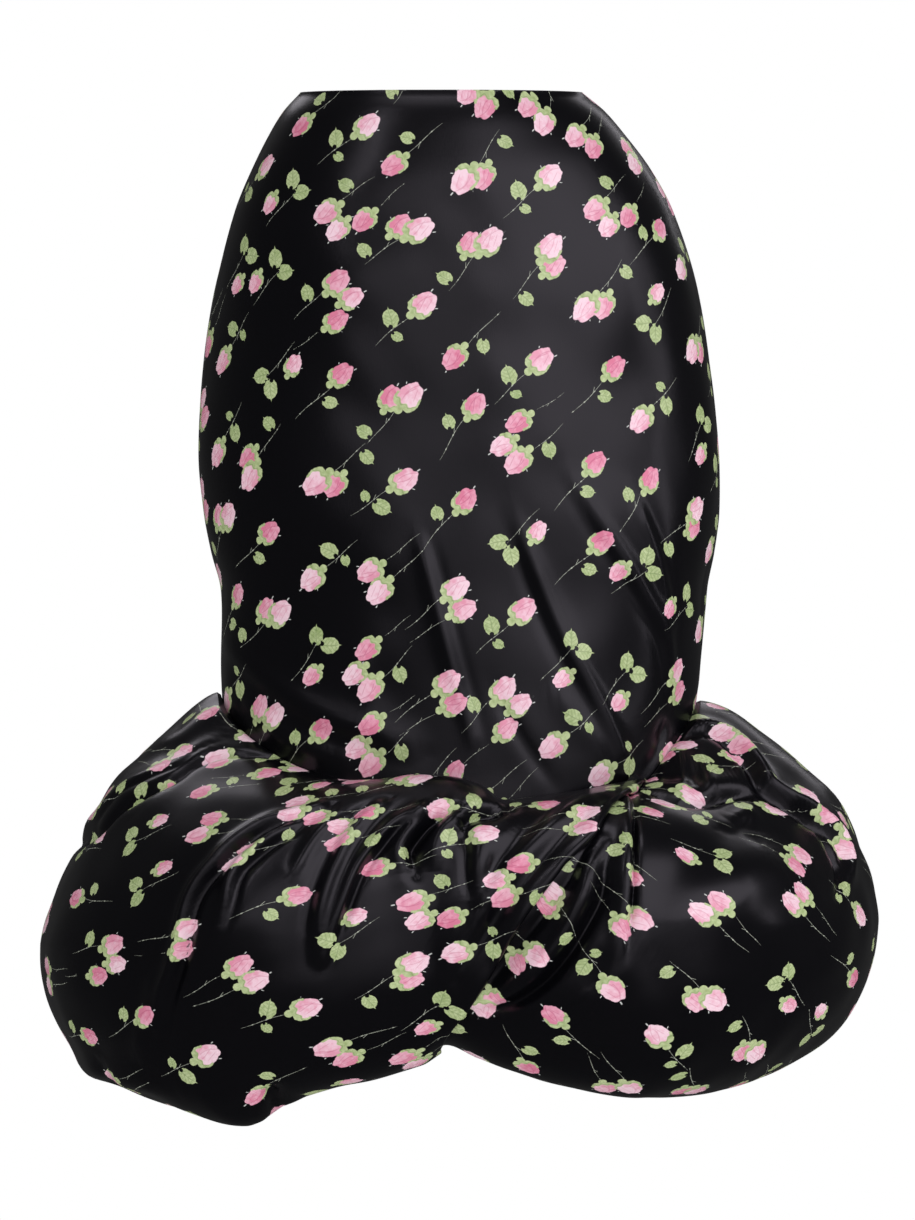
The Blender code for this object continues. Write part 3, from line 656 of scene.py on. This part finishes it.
def upper_grid(panel):
    """The front or the back of the upper skirt, from its turned waist edge to behind the balloon's edge."""
    across = np.arange(UPPER_COLUMNS + 1) / UPPER_COLUMNS
    angles = PANEL_START[panel] + 180 * across
    part = np.arange(UPPER_ROWS + 1) / UPPER_ROWS
    heights = part[:, None] * (balloon_column(1, angles) - SEAM_LAP)[None, :]
    angles = np.repeat(angles[None, :], len(part), axis=0)
    for side, towards in ((0, 1), (-1, -1)):
        radius = upper_radius(angles[:, side], heights[:, side])
        angles[:, side] += towards * np.degrees(SEAM_GAP / 2 / radius)
    points = upper_point(angles, heights)
    normals = grid_normals(points)
    lift = sum(uneven(points, waves) for waves in UPPER_WAVES)
    lift += panel_shift(panel, points, normals)[0]
    lift *= ramp(-heights / WAIST_STILL) * ramp((part[::-1, None]) / UPPER_SEAM_STILL)
    lift *= ramp(np.minimum(across, 1 - across) / SIDE_STILL)[None, :]
    body = points + normals * lift[..., None]
    inward = -normals[0]
    turned = rolled(body[0], np.array([0, 0, 1]), inward, TURN_RADIUS)
    for number in range(1, FLAP_STEPS + 1):
        depth = WAIST_TURN * number / FLAP_STEPS
        turned.append(upper_point(angles[0], np.full(angles.shape[1], -depth)) + inward * 2 * TURN_RADIUS)
    return np.concatenate([turned[::-1], body], axis=0)


# ------ the cut, and the print on it
def grid_faces(rows, columns):
    corner = np.arange((rows - 1) * columns).reshape(rows - 1, columns)[:, :-1].ravel()
    return np.stack([corner, corner + columns, corner + columns + 1, corner + 1], axis=1)


def cell_areas(points):
    """Area of each cell of a grid, flat or not."""
    one, other = points[1:, 1:] - points[:-1, :-1], points[1:, :-1] - points[:-1, 1:]
    if points.shape[-1] == 2:
        return 0.5 * np.abs(one[..., 0] * other[..., 1] - one[..., 1] * other[..., 0])
    return 0.5 * np.linalg.norm(np.cross(one, other), axis=-1)


def resample(values, rows, columns):
    """A grid of values read at more rows and columns, straight between them."""
    down, around = np.asarray(rows, float), np.asarray(columns, float)
    i = np.clip(down.astype(int), 0, values.shape[0] - 2)
    j = np.clip(around.astype(int), 0, values.shape[1] - 2)
    u, v = (down - i)[:, None, None], (around - j)[None, :, None]
    near, far = values[i], values[i + 1]
    return ((near[:, j] * (1 - v) + near[:, j + 1] * v) * (1 - u)
            + (far[:, j] * (1 - v) + far[:, j + 1] * v) * u)


def lay_flat(points, upright):
    """The flat cloth under a grid of points: each point's place on it, to the right and up."""
    rows, columns = (np.unique(np.append(np.arange(0, count, FLATTEN_STEP), count - 1))
                     for count in points.shape[:2])
    coarse = points[np.ix_(rows, columns)]
    mesh = bpy.data.meshes.new("cut")
    mesh.from_pydata((coarse.reshape(-1, 3) * MM).tolist(), [], grid_faces(*coarse.shape[:2]).tolist())
    mesh.uv_layers.new(name="cut")
    sheet = placed("cut", mesh)
    for other in bpy.context.selected_objects:
        other.select_set(False)
    bpy.context.view_layer.objects.active = sheet
    sheet.select_set(True)
    bpy.ops.object.mode_set(mode="EDIT")
    bpy.ops.mesh.select_all(action="SELECT")
    bpy.ops.uv.unwrap(method="MINIMUM_STRETCH", iterations=FLATTEN_TURNS)
    bpy.ops.object.mode_set(mode="OBJECT")
    places = np.empty(len(mesh.loops) * 2)
    mesh.uv_layers["cut"].uv.foreach_get("vector", places)
    numbers = np.empty(len(mesh.loops), np.int32)
    mesh.loops.foreach_get("vertex_index", numbers)
    flat = np.zeros((coarse.shape[0] * coarse.shape[1], 2))
    flat[numbers] = places.reshape(-1, 2)
    flat = flat.reshape(*coarse.shape[:2], 2)
    bpy.data.objects.remove(sheet)
    bpy.data.meshes.remove(mesh)
    flat *= np.sqrt(cell_areas(coarse).sum() / cell_areas(flat).sum())
    row, column = (int(part * (count - 1)) for part, count in zip(upright, flat.shape[:2]))
    right = flat[row, column + UPRIGHT_STEP] - flat[row, column - UPRIGHT_STEP]
    up = flat[row - UPRIGHT_STEP, column] - flat[row + UPRIGHT_STEP, column]
    if right[0] * up[1] - right[1] * up[0] < 0:
        flat[..., 0] *= -1
        up[0] *= -1
    turn = np.pi / 2 - np.arctan2(up[1], up[0])
    flat = flat @ np.array([[np.cos(turn), np.sin(turn)], [-np.sin(turn), np.cos(turn)]])
    back = np.interp(np.arange(points.shape[0]), rows, np.arange(len(rows)))
    across = np.interp(np.arange(points.shape[1]), columns, np.arange(len(columns)))
    return resample(flat, back, across)


def stretch_of(points, flat):
    """How much longer the cloth is on the skirt than lying flat, at each point, without its folds."""
    worn, cut = cell_areas(points), cell_areas(flat)
    blocks = [(count - 1) // STRETCH_BLOCK + 1 for count in worn.shape]
    total = np.zeros((*blocks, 2))
    index = np.ix_(*(np.arange(count) // STRETCH_BLOCK for count in worn.shape))
    for number, areas in enumerate((worn, cut)):
        np.add.at(total[..., number], index, areas)
    ratio = np.sqrt(total[..., :1] / total[..., 1:])
    places = (np.clip(np.arange(count) / STRETCH_BLOCK - 0.5, 0, most - 1)
              for count, most in zip(points.shape, blocks))
    return resample(ratio, *places)[..., 0]


def turned(x, y, degrees):
    turn = np.radians(degrees)
    return x * np.cos(turn) - y * np.sin(turn), x * np.sin(turn) + y * np.cos(turn)


class Print:
    """Where each spray's buds, leaves and stems lie on a grid's faces.

    Each layer holds, for each corner of each face, the place within the element that covers the face
    (along it and across it, in mm) and the element's tone."""

    def __init__(self, points, flat):
        self.flat, self.stretch = flat, stretch_of(points, flat)
        rows, columns = points.shape[0] - 1, points.shape[1] - 1
        self.layers = {name: np.full((rows, columns, 4, 3), BLANK) for name in LAYERS}
        self.nearest = {name: np.full((rows, columns), np.inf) for name in LAYERS}

    def nearest_point(self, x, y):
        off = (self.flat[..., 0] - x) ** 2 + (self.flat[..., 1] - y) ** 2
        row, column = np.unravel_index(np.argmin(off), off.shape)
        return np.sqrt(off[row, column]), row, column

    def stamp(self, layer, kind, x, y, turn, scale, tone):
        """Draws one element on the faces that it covers and no nearer one does."""
        half_length, half_width = REACH[kind]
        reach = np.hypot(half_length, half_width) / scale
        close = (np.abs(self.flat[..., 0] - x) < reach) & (np.abs(self.flat[..., 1] - y) < reach)
        if not close.any():
            return
        rows, columns = np.flatnonzero(close.any(axis=1)), np.flatnonzero(close.any(axis=0))
        block = tuple(slice(max(line[0] - 1, 0), line[-1] + 2) for line in (rows, columns))
        place = self.flat[block]
        along, across = turned((place[..., 0] - x) * scale, (place[..., 1] - y) * scale, -turn)
        inside = (np.abs(along) < half_length) & (np.abs(across) < half_width)
        covered = np.any([inside[corner] for corner in CORNERS], axis=0)
        off = np.mean([np.hypot(along[corner] / half_length, across[corner] / half_width)
                       for corner in CORNERS], axis=0)
        cells = tuple(slice(line.start, line.start + count) for line, count in zip(block, covered.shape))
        nearest = self.nearest[layer][cells]
        taken = covered & (off < nearest)
        nearest[taken] = off[taken]
        for number, corner in enumerate(CORNERS):
            local = np.stack([along[corner], across[corner], np.full(off.shape, tone)], axis=-1)
            self.layers[layer][cells][..., number, :][taken] = local[taken]

    def scatter(self, grain, seed):
        """Sprays over the whole piece, on a lattice that runs along the grain direction."""
        random = np.random.default_rng(seed)
        low, high = self.flat.reshape(-1, 2).min(axis=0), self.flat.reshape(-1, 2).max(axis=0)
        middle, reach = (low + high) / 2, np.hypot(*(high - low)) / 2 + LATTICE[0]
        steps = [int(reach / spacing) for spacing in LATTICE]
        for row in range(-steps[1], steps[1] + 1):
            for column in range(-steps[0], steps[0] + 1):
                strays, turn = random.uniform(-1, 1, 2), random.uniform(-SPRAY_TURN, SPRAY_TURN)
                spray = SPRAYS[random.integers(len(SPRAYS))]
                facing = 180 * random.integers(2)
                mirrored = 1 - 2 * random.integers(2)
                tone_shift = random.uniform(-TONE_SHIFT, TONE_SHIFT)
                along = (column + 0.5 * (row % 2) + LATTICE_LEAN * row) * LATTICE[0]
                x, y = turned(along + strays[0] * SPRAY_JITTER[0],
                              row * LATTICE[1] + strays[1] * SPRAY_JITTER[1], grain)
                x, y = x + middle[0], y + middle[1]
                apart, near_row, near_column = self.nearest_point(x, y)
                if apart > REACH["stem"][0]:
                    continue
                scale = self.stretch[near_row, near_column]
                heading, buds = grain + facing + turn, 0
                for kind, ahead, aside, swing, size, tone in spray:
                    ahead, aside = turned(ahead, aside * mirrored, heading)
                    layer = kind
                    if kind == "bud":
                        layer = LAYERS[2 + buds % 2]
                        buds += 1
                    self.stamp(layer, kind, x + ahead / scale, y + aside / scale, heading + swing * mirrored,
                               scale / size, np.clip(tone + tone_shift, 0, MOST_TONE)
                               + random.integers(ELEMENT_NUMBERS))


# ------ objects
def placed(name, data):
    """A new object of the scene."""
    made = bpy.data.objects.new(name, data)
    bpy.context.scene.collection.objects.link(made)
    return made


def shell(name, points, flat, printed, materials):
    """A grid of points as a thin wall: its face side, its reverse and the rims between them."""
    rows, columns = points.shape[:2]
    half_wall = grid_normals(points) * WALL / 2
    count = rows * columns
    vertices = np.concatenate([(points + half_wall).reshape(-1, 3), (points - half_wall).reshape(-1, 3)])
    face = grid_faces(rows, columns)
    reverse = face[:, ::-1] + count
    number = np.arange(count).reshape(rows, columns)
    border = np.concatenate([number[0, ::-1], number[1:, 0], number[-1, 1:], number[-2::-1, -1]])
    after = np.concatenate([border[1:], border[:1]])
    keep = border != after
    border, after = border[keep], after[keep]
    rim = np.stack([after, border, border + count, after + count], axis=1)
    faces = np.concatenate([face, reverse, rim])
    mesh = bpy.data.meshes.new(name)
    mesh.from_pydata((vertices * MM).tolist(), [], faces.tolist())
    mesh.shade_smooth()
    rims = {tuple(sorted(pair)) for row in rim.tolist() for pair in zip(row, row[1:] + row[:1])}
    mesh.attributes.new("sharp_edge", "BOOLEAN", "EDGE").data.foreach_set(
        "value", [tuple(sorted(edge.vertices)) in rims for edge in mesh.edges])
    for material in materials:
        mesh.materials.append(material)
    slots = np.zeros(len(faces), np.int32)
    slots[len(face):len(face) + len(reverse)] = 1
    mesh.polygons.foreach_set("material_index", slots)
    places = flat.reshape(-1, 2)[faces % count] * MM
    mesh.uv_layers.new(name="cut").uv.foreach_set("vector", places.ravel())
    for layer, corners in printed.layers.items():
        corners = corners.reshape(-1, 4, 3)
        blank = np.full((len(rim), 4, 3), BLANK)
        values = np.concatenate([corners, corners[:, ::-1], blank])
        mesh.attributes.new(layer, "FLOAT_VECTOR", "CORNER").data.foreach_set("vector", values.ravel())
    return placed(name, mesh)


# ------ painting in nodes
def put(tree, entry, value):
    """Sets a node's input to a constant, or links it to another node's output."""
    if isinstance(value, Value):
        value = value.socket
    if isinstance(value, bpy.types.NodeSocket):
        tree.links.new(value, entry)
    else:
        entry.default_value = value


def add_node(tree, kind, inputs):
    """A new node with its inputs set or linked, by name or number."""
    node = tree.nodes.new("ShaderNode" + kind)
    for name, value in inputs.items():
        put(tree, node.inputs[name], value)
    return node


def operation(name):
    return lambda value, *others: value.math(name, *others)


class Value:
    """A number at a node's socket; arithmetic on it adds Math nodes to its tree."""

    def __init__(self, tree, socket):
        self.tree, self.socket = tree, socket

    def math(self, name, *others, clamp=False):
        node = add_node(self.tree, "Math", {})
        node.operation, node.use_clamp = name, clamp
        for entry, value in zip(node.inputs, (self, *others)):
            put(self.tree, entry, value)
        return Value(self.tree, node.outputs[0])

    __add__ = __radd__ = operation("ADD")
    __sub__ = operation("SUBTRACT")
    __mul__ = __rmul__ = operation("MULTIPLY")
    __truediv__ = operation("DIVIDE")
    __pow__ = operation("POWER")
    __abs__ = operation("ABSOLUTE")
    sin, fraction, whole, most = map(operation, ("SINE", "FRACT", "FLOOR", "MAXIMUM"))

    def __rsub__(self, other):
        return self.math("MULTIPLY_ADD", -1.0, other)

    def clamped(self):
        return self.math("ADD", 0.0, clamp=True)

    def below(self, edge, soft):
        """1 below the edge, 0 above it, and a soft step between."""
        if isinstance(edge, Value):
            return (edge - self).math("MULTIPLY_ADD", 1 / soft, 0.5, clamp=True)
        return self.math("MULTIPLY_ADD", -1 / soft, edge / soft + 0.5, clamp=True)

    def above(self, edge, soft):
        return self.math("MULTIPLY_ADD", 1 / soft, 0.5 - edge / soft, clamp=True)


def mixed(tree, part, one, other):
    """A colour between one and other, each a colour or a socket."""
    node = tree.nodes.new("ShaderNodeMix")
    node.data_type = "RGBA"
    for entry, value in ((node.inputs["Factor"], part), (node.inputs[6], one), (node.inputs[7], other)):
        put(tree, entry, value)
    return node.outputs[2]


def noise(tree, place, scale):
    """Soft noise from 0 to 1 over a place in mm."""
    vector = add_node(tree, "CombineXYZ", dict(enumerate(place))).outputs[0]
    node = add_node(tree, "TexNoise", {"Scale": scale, "Detail": NOISE_DETAIL, "Vector": vector})
    return Value(tree, node.outputs[0])


def colour(code):
    """A linear colour from a six-digit display colour."""
    parts = [int(code[i:i + 2], 16) / 255 for i in (0, 2, 4)]
    return tuple((c / 12.92 if c <= 0.04045 else ((c + 0.055) / 1.055) ** 2.4) for c in parts) + (1,)


BLACK = colour("060609")
PALE_PINK, MID_PINK, DEEP_PINK, STROKE_PINK = map(colour, ("F6D5DF", "EBACBF", "DB7C98", "C45E80"))
PALE_GREEN, MID_GREEN, DARK_GREEN = map(colour, ("C0CE9A", "8BA262", "5B7340"))
STEM_COLOUR, WHISKER_COLOUR, LINT_GREY = map(colour, ("C0C6B4", "DCE0DA", "1B1A1E"))
NOISE_DETAIL = 2.0
LEAF_LENGTH, LEAF_WIDTH = 7.6, 6.3  # half of each, in mm
BUD_LENGTH, BUD_WIDTH, BUD_SQUARENESS = 11.6, 8.7, 2.4  # likewise; 2 is an ellipse, more is squarer
RECEPTACLE, RECEPTACLE_RADIUS = -13.6, 3.4  # its middle along the bud, in mm


def element_place(tree, layer):
    """Place along and across the layer's element, its tone and a number of its own."""
    source = tree.nodes.new("ShaderNodeAttribute")
    source.attribute_name = layer
    parts = add_node(tree, "SeparateXYZ", {0: source.outputs["Vector"]})
    along, across, both = (Value(tree, socket) for socket in parts.outputs)
    return along, across, both.fraction(), both.whole()


def paint_stem(tree, under, layer):
    """A wavering line with knots and gaps, and a short twig."""
    along, across, _, pick = element_place(tree, layer)
    line = (along * 0.13 + pick).sin() * 0.8
    knot = (along * 0.55 + pick).sin().above(0.93, 0.06) * 0.25
    width = abs(across - line) - knot + abs(along) * 0.008
    cover = width.below(0.2, 0.2) * abs(along).below(19.0, 0.6)
    cover = cover * (1.0 - (along * 0.9 + pick * 3.0).sin().above(0.8, 0.3) * 0.6)
    twig = abs(across - line - (along - 3.0) * 0.55).below(0.16, 0.2) * abs(along - 5.0).below(2.0, 0.4)
    return mixed(tree, cover.most(twig) * 0.8, under, STEM_COLOUR)


def paint_leaf(tree, under, layer):
    """A ragged oval with a tip, a bite out of its base, and veins."""
    along, across, tone, pick = element_place(tree, layer)
    grain = noise(tree, (along, across, pick), 0.35)
    oval = (along * (1 / LEAF_LENGTH)) ** 2 + (across * (1 / LEAF_WIDTH)) ** 2 + (grain - 0.5) * 0.5
    tip = abs(across).below((9.8 - along) * 0.32, 0.4) * along.above(4.5, 0.5)
    bite = ((along + 6.4) ** 2 + (across - 1.6) ** 2).below(3.4, 1.2)
    cover = oval.below(1.0, 0.12).most(tip) * (1.0 - bite)
    vein = abs(across - (along * 0.4 + pick).sin() * 0.3).below(0.35, 0.5)
    side_vein = ((along - abs(across) * 0.8) * 1.9).sin().above(0.75, 0.5) * 0.35
    green = mixed(tree, (grain * 1.6 - 0.6 + tone * 0.4).clamped(), PALE_GREEN, MID_GREEN)
    green = mixed(tree, (vein * 0.5).most(side_vein) * oval.below(0.85, 0.3), green, DARK_GREEN)
    return mixed(tree, cover, under, green)


def paint_bud(tree, under, layer):
    """A closed bud that points along: whiskers, petals with strokes, and a calyx with a round receptacle."""
    along, across, tone, pick = element_place(tree, layer)
    grain = noise(tree, (along, across, pick), 0.22)
    shape = abs(along * (1 / BUD_LENGTH)) ** BUD_SQUARENESS
    shape = shape + abs(across / (BUD_WIDTH - along * 0.13)) ** BUD_SQUARENESS
    lobes = (across * 0.85 + pick * 1.3).sin() * (along * 0.012).most(0.0)
    outline = shape + (grain - 0.5) * 0.55 + lobes
    # white whiskers round the tip
    spokes = (across.math("ARCTAN2", along + 5.0) * 6.4 + pick * 1.9).sin()
    whisker = spokes.above(0.985, 0.012) * shape.above(1.2, 0.15) * shape.below(1.9, 0.3)
    whisker = whisker * grain.above(0.44, 0.05) * along.above(-1.0, 2.0) * 0.8
    picture = mixed(tree, whisker, under, WHISKER_COLOUR)
    # petals: a pale and a deep side, strokes from the base to the tip
    side = (across * 0.07 + (grain - 0.5) * 2.6 + tone * 0.45 + 0.28 - along * 0.018).clamped()
    pale = mixed(tree, (tone * 1.35 - 0.2).clamped(), PALE_PINK, MID_PINK)
    deep = mixed(tree, tone, MID_PINK, DEEP_PINK)
    petals = mixed(tree, side, pale, deep)
    first = abs(across - (along * 0.2 + pick).sin() * 2.2 - 1.0).below(0.38, 0.5)
    first = first * abs(along - 1.0).below(6.5, 2.0)
    second = abs(across + along * along * 0.03 - 3.4).below(0.34, 0.5) * along.above(-5.0, 2.0)
    third = abs(across - along * 0.35 + 4.2).below(0.3, 0.5) * abs(along - 3.0).below(4.5, 2.0)
    stroke = first.most(second).most(third) * (0.35 + tone * 0.3)
    petals = mixed(tree, stroke, petals, STROKE_PINK)
    picture = mixed(tree, outline.below(1.0, 0.14), picture, petals)
    # calyx: a thin cap whose sepals run up both sides, and the round receptacle
    cap = across * across * 0.04 - 7.2 + (across * 0.95 + pick * 1.7).sin() * 1.0
    reach = (pick * 2.1).sin() * across * 0.35 + 0.6
    sepals = outline.above(0.74, 0.12) * along.below(reach, 1.2)
    cup = along.below(cap, 0.5).most(sepals) * (outline * 0.82).below(1.0, 0.1) * along.above(-11.5, 0.5)
    knob = (along - RECEPTACLE) ** 2 + (across * 1.05) ** 2 + grain * 6.0
    knob = knob.below(RECEPTACLE_RADIUS**2 + 3.0, 2.5)
    green = mixed(tree, (grain * 2.0 - 0.75).clamped(), PALE_GREEN, MID_GREEN)
    green = mixed(tree, abs(along - cap + 1.0).below(0.3, 0.6) * 0.5, green, DARK_GREEN)
    return mixed(tree, cup.most(knob), picture, green)


def paint_print(tree):
    """The rosebud print over the black ground, from the layers that each face carries."""
    picture = BLACK
    for layer, paint in zip(LAYERS, (paint_stem, paint_leaf, paint_bud, paint_bud)):
        picture = paint(tree, picture, layer)
    return picture


def node_material(name):
    material = bpy.data.materials.new(name)
    material.use_nodes = True
    return material, material.node_tree, material.node_tree.nodes["Principled BSDF"]


# For the shiny side with its smooth floats, and for the dull one with the print showing through faintly:
# roughness, specular level and tint, how far the print is covered, and the strength of the bumps
SATIN = {"satin_face": (0.28, 0.4, (0.97, 0.93, 1.0, 1.0), 0, 0.25),
         "satin_reverse": (0.62, 0.25, (1.0, 1.0, 1.0, 1.0), 0.72, 0.5)}
YARN_SCALE = (1400.0, 160.0, 1.0)  # of the noise across, along and off the cloth, for each metre
YARN_HEIGHT = 0.0002


def satin(name):
    """Printed cloth with fine uneven yarns along the warp, and the slight waviness of pressed satin."""
    roughness, level, tint, cover, strength = SATIN[name]
    material, tree, shader = node_material(name)
    place = tree.nodes.new("ShaderNodeUVMap")
    place.uv_map = "cut"
    stretched = add_node(tree, "Mapping", {"Scale": YARN_SCALE, "Vector": place.outputs[0]}).outputs[0]
    yarns = add_node(tree, "TexNoise", {"Scale": 1.0, "Detail": NOISE_DETAIL, "Vector": stretched}).outputs[0]
    bump = add_node(tree, "Bump", {"Strength": strength, "Distance": YARN_HEIGHT, "Height": yarns}).outputs[0]
    picture = paint_print(tree)
    if cover:
        picture = mixed(tree, cover, picture, LINT_GREY)
    for entry, value in {"Base Color": picture, "Roughness": roughness, "Specular IOR Level": level,
                         "Specular Tint": tint, "Normal": bump}.items():
        put(tree, shader.inputs[entry], value)
    return material


# ------ stage, light and camera
PHOTO_SIZE = (915, 1220)  # pixels
PIXEL = 0.8  # mm of the skirt in one of them
WAIST_PIXEL = (441.5, 94)  # where the waist edge's middle is in the photograph
CAMERA_DISTANCE = 16000.0
SENSOR = 36.0  # mm, the photograph's long side
CLIP_END = 100  # m
FLOOR_HEIGHT = -1000.0
FLOOR_REACH = 2800.0  # its rim lies out of the camera's view
FLOOR_SIDES = 96
FLOOR_WHITE = (0.85, 0.85, 0.85, 1)
FLOOR_ROUGHNESS = 0.9
FLOOR_GLOW = (0.3, 0.75)  # its emission in the middle and at the rim, which is then as white as the world
WHITE = (1, 1, 1, 1)
AIM = Vector((0.0, 0.0, -0.42))
LIGHT_COLOUR = (1.0, 0.965, 1.03)
SOFTBOX_DISTANCE = 2.6  # m from the aim
Softbox = namedtuple("Softbox", "azimuth elevation width height radiance")
SOFTBOXES = {
    # azimuth from the front towards +X; width and height in m; the last is how bright the box looks
    "key_right": Softbox(36, 25, 3.5, 1.9, 1.55),
    "side_right": Softbox(76, 16, 0.35, 2.4, 2.0),
    "front_left": Softbox(-14, 14, 1.3, 1.1, 0.8),
    "under_key": Softbox(24, 2, 3.4, 0.6, 0.5),
    "low_front": Softbox(24, -12, 3.4, 1.0, 0.3),
    "left_strip": Softbox(-36, 40, 0.13, 1.3, 7.0),
    "top": Softbox(-20, 72, 1.4, 0.8, 2.2),
    "back_key": Softbox(190, 42, 2.6, 1.6, 1.5),
    "back_strip": Softbox(150, 30, 0.4, 1.4, 1.5),
}
WORLD = {"Camera": 1.0, "Glossy": 0.06}   # how bright it looks to these kinds of ray
WORLD_REST = 0.40  # and to the others


def camera():
    data = bpy.data.cameras.new("camera")
    data.sensor_width = SENSOR
    data.lens = SENSOR * CAMERA_DISTANCE / (PHOTO_SIZE[1] * PIXEL)
    data.clip_end = CLIP_END
    seen = placed("camera", data)
    x = (PHOTO_SIZE[0] / 2 - WAIST_PIXEL[0]) * PIXEL
    z = -(PHOTO_SIZE[1] / 2 - WAIST_PIXEL[1]) * PIXEL
    seen.location = Vector((x, -CAMERA_DISTANCE, z)) * MM
    seen.rotation_euler = (np.pi / 2, 0, 0)
    bpy.context.scene.camera = seen


def lights():
    for name, box in SOFTBOXES.items():
        data = bpy.data.lights.new(name, "AREA")
        data.shape = "ELLIPSE"
        data.size, data.size_y = box.width, box.height
        data.energy = np.pi * (np.pi / 4 * box.width * box.height) * box.radiance
        data.color = LIGHT_COLOUR
        lamp = placed(name, data)
        azimuth, elevation = np.radians(box.azimuth), np.radians(box.elevation)
        away = Vector((np.sin(azimuth) * np.cos(elevation), -np.cos(azimuth) * np.cos(elevation),
                       np.sin(elevation)))
        lamp.location = AIM + away * SOFTBOX_DISTANCE
        lamp.rotation_euler = away.to_track_quat("Z", "Y").to_euler()
    world = bpy.data.worlds.new("studio")
    bpy.context.scene.world = world
    world.use_nodes = True
    tree = world.node_tree
    rays = tree.nodes.new("ShaderNodeLightPath").outputs
    seen, mirrored = (Value(tree, rays[f"Is {kind} Ray"]) * (WORLD[kind] - WORLD_REST) for kind in WORLD)
    put(tree, tree.nodes["Background"].inputs["Strength"], seen + mirrored + WORLD_REST)
    put(tree, tree.nodes["Background"].inputs["Color"], WHITE)
    bpy.context.scene.view_settings.view_transform = "Standard"


def studio_floor():
    mesh = bpy.data.meshes.new("floor")
    turns = 2 * np.pi * np.arange(FLOOR_SIDES) / FLOOR_SIDES
    rim = np.stack([np.cos(turns), np.sin(turns), 0 * turns], axis=1) * FLOOR_REACH * MM
    mesh.from_pydata(rim.tolist(), [], [list(range(FLOOR_SIDES))])
    material, tree, shader = node_material("floor_paper")
    place = tree.nodes.new("ShaderNodeTexCoord")
    away = add_node(tree, "VectorMath", {0: place.outputs["Object"]})
    away.operation = "LENGTH"
    glow = add_node(tree, "MapRange", {"Value": away.outputs["Value"], "From Max": FLOOR_REACH * MM,
                                       "To Min": FLOOR_GLOW[0], "To Max": FLOOR_GLOW[1]})
    glow.interpolation_type = "SMOOTHSTEP"
    for entry, value in {"Base Color": FLOOR_WHITE, "Roughness": FLOOR_ROUGHNESS, "Emission Color": WHITE,
                         "Emission Strength": glow.outputs["Result"]}.items():
        put(tree, shader.inputs[entry], value)
    mesh.materials.append(material)
    floor = placed("floor", mesh)
    floor.location.z = FLOOR_HEIGHT * MM
    floor.visible_glossy = False      # the satin doesn't mirror it


# ------ making it all
PIECES = {
    "front_satin": ("skirt_front", upper_grid, "front"),
    "back_satin": ("skirt_back", upper_grid, "back"),
    "left_balloon_satin": ("balloon_left", balloon_grid, "left"),
    "right_balloon_satin": ("balloon_right", balloon_grid, "right"),
}


def main():
    camera()
    lights()
    studio_floor()
    materials = [satin(name) for name in SATIN]
    for seed, (name, (node, make_grid, panel)) in enumerate(PIECES.items(), start=1):
        grid = make_grid(panel)
        flat = lay_flat(grid, UPRIGHT[node])
        printed = Print(grid, flat)
        printed.scatter(GRAIN[node], seed)
        piece = shell(name, grid, flat, printed, materials)
        area = float(cell_areas(flat).sum()) * MM**2
        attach(piece, "root")
        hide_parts(node)


main()
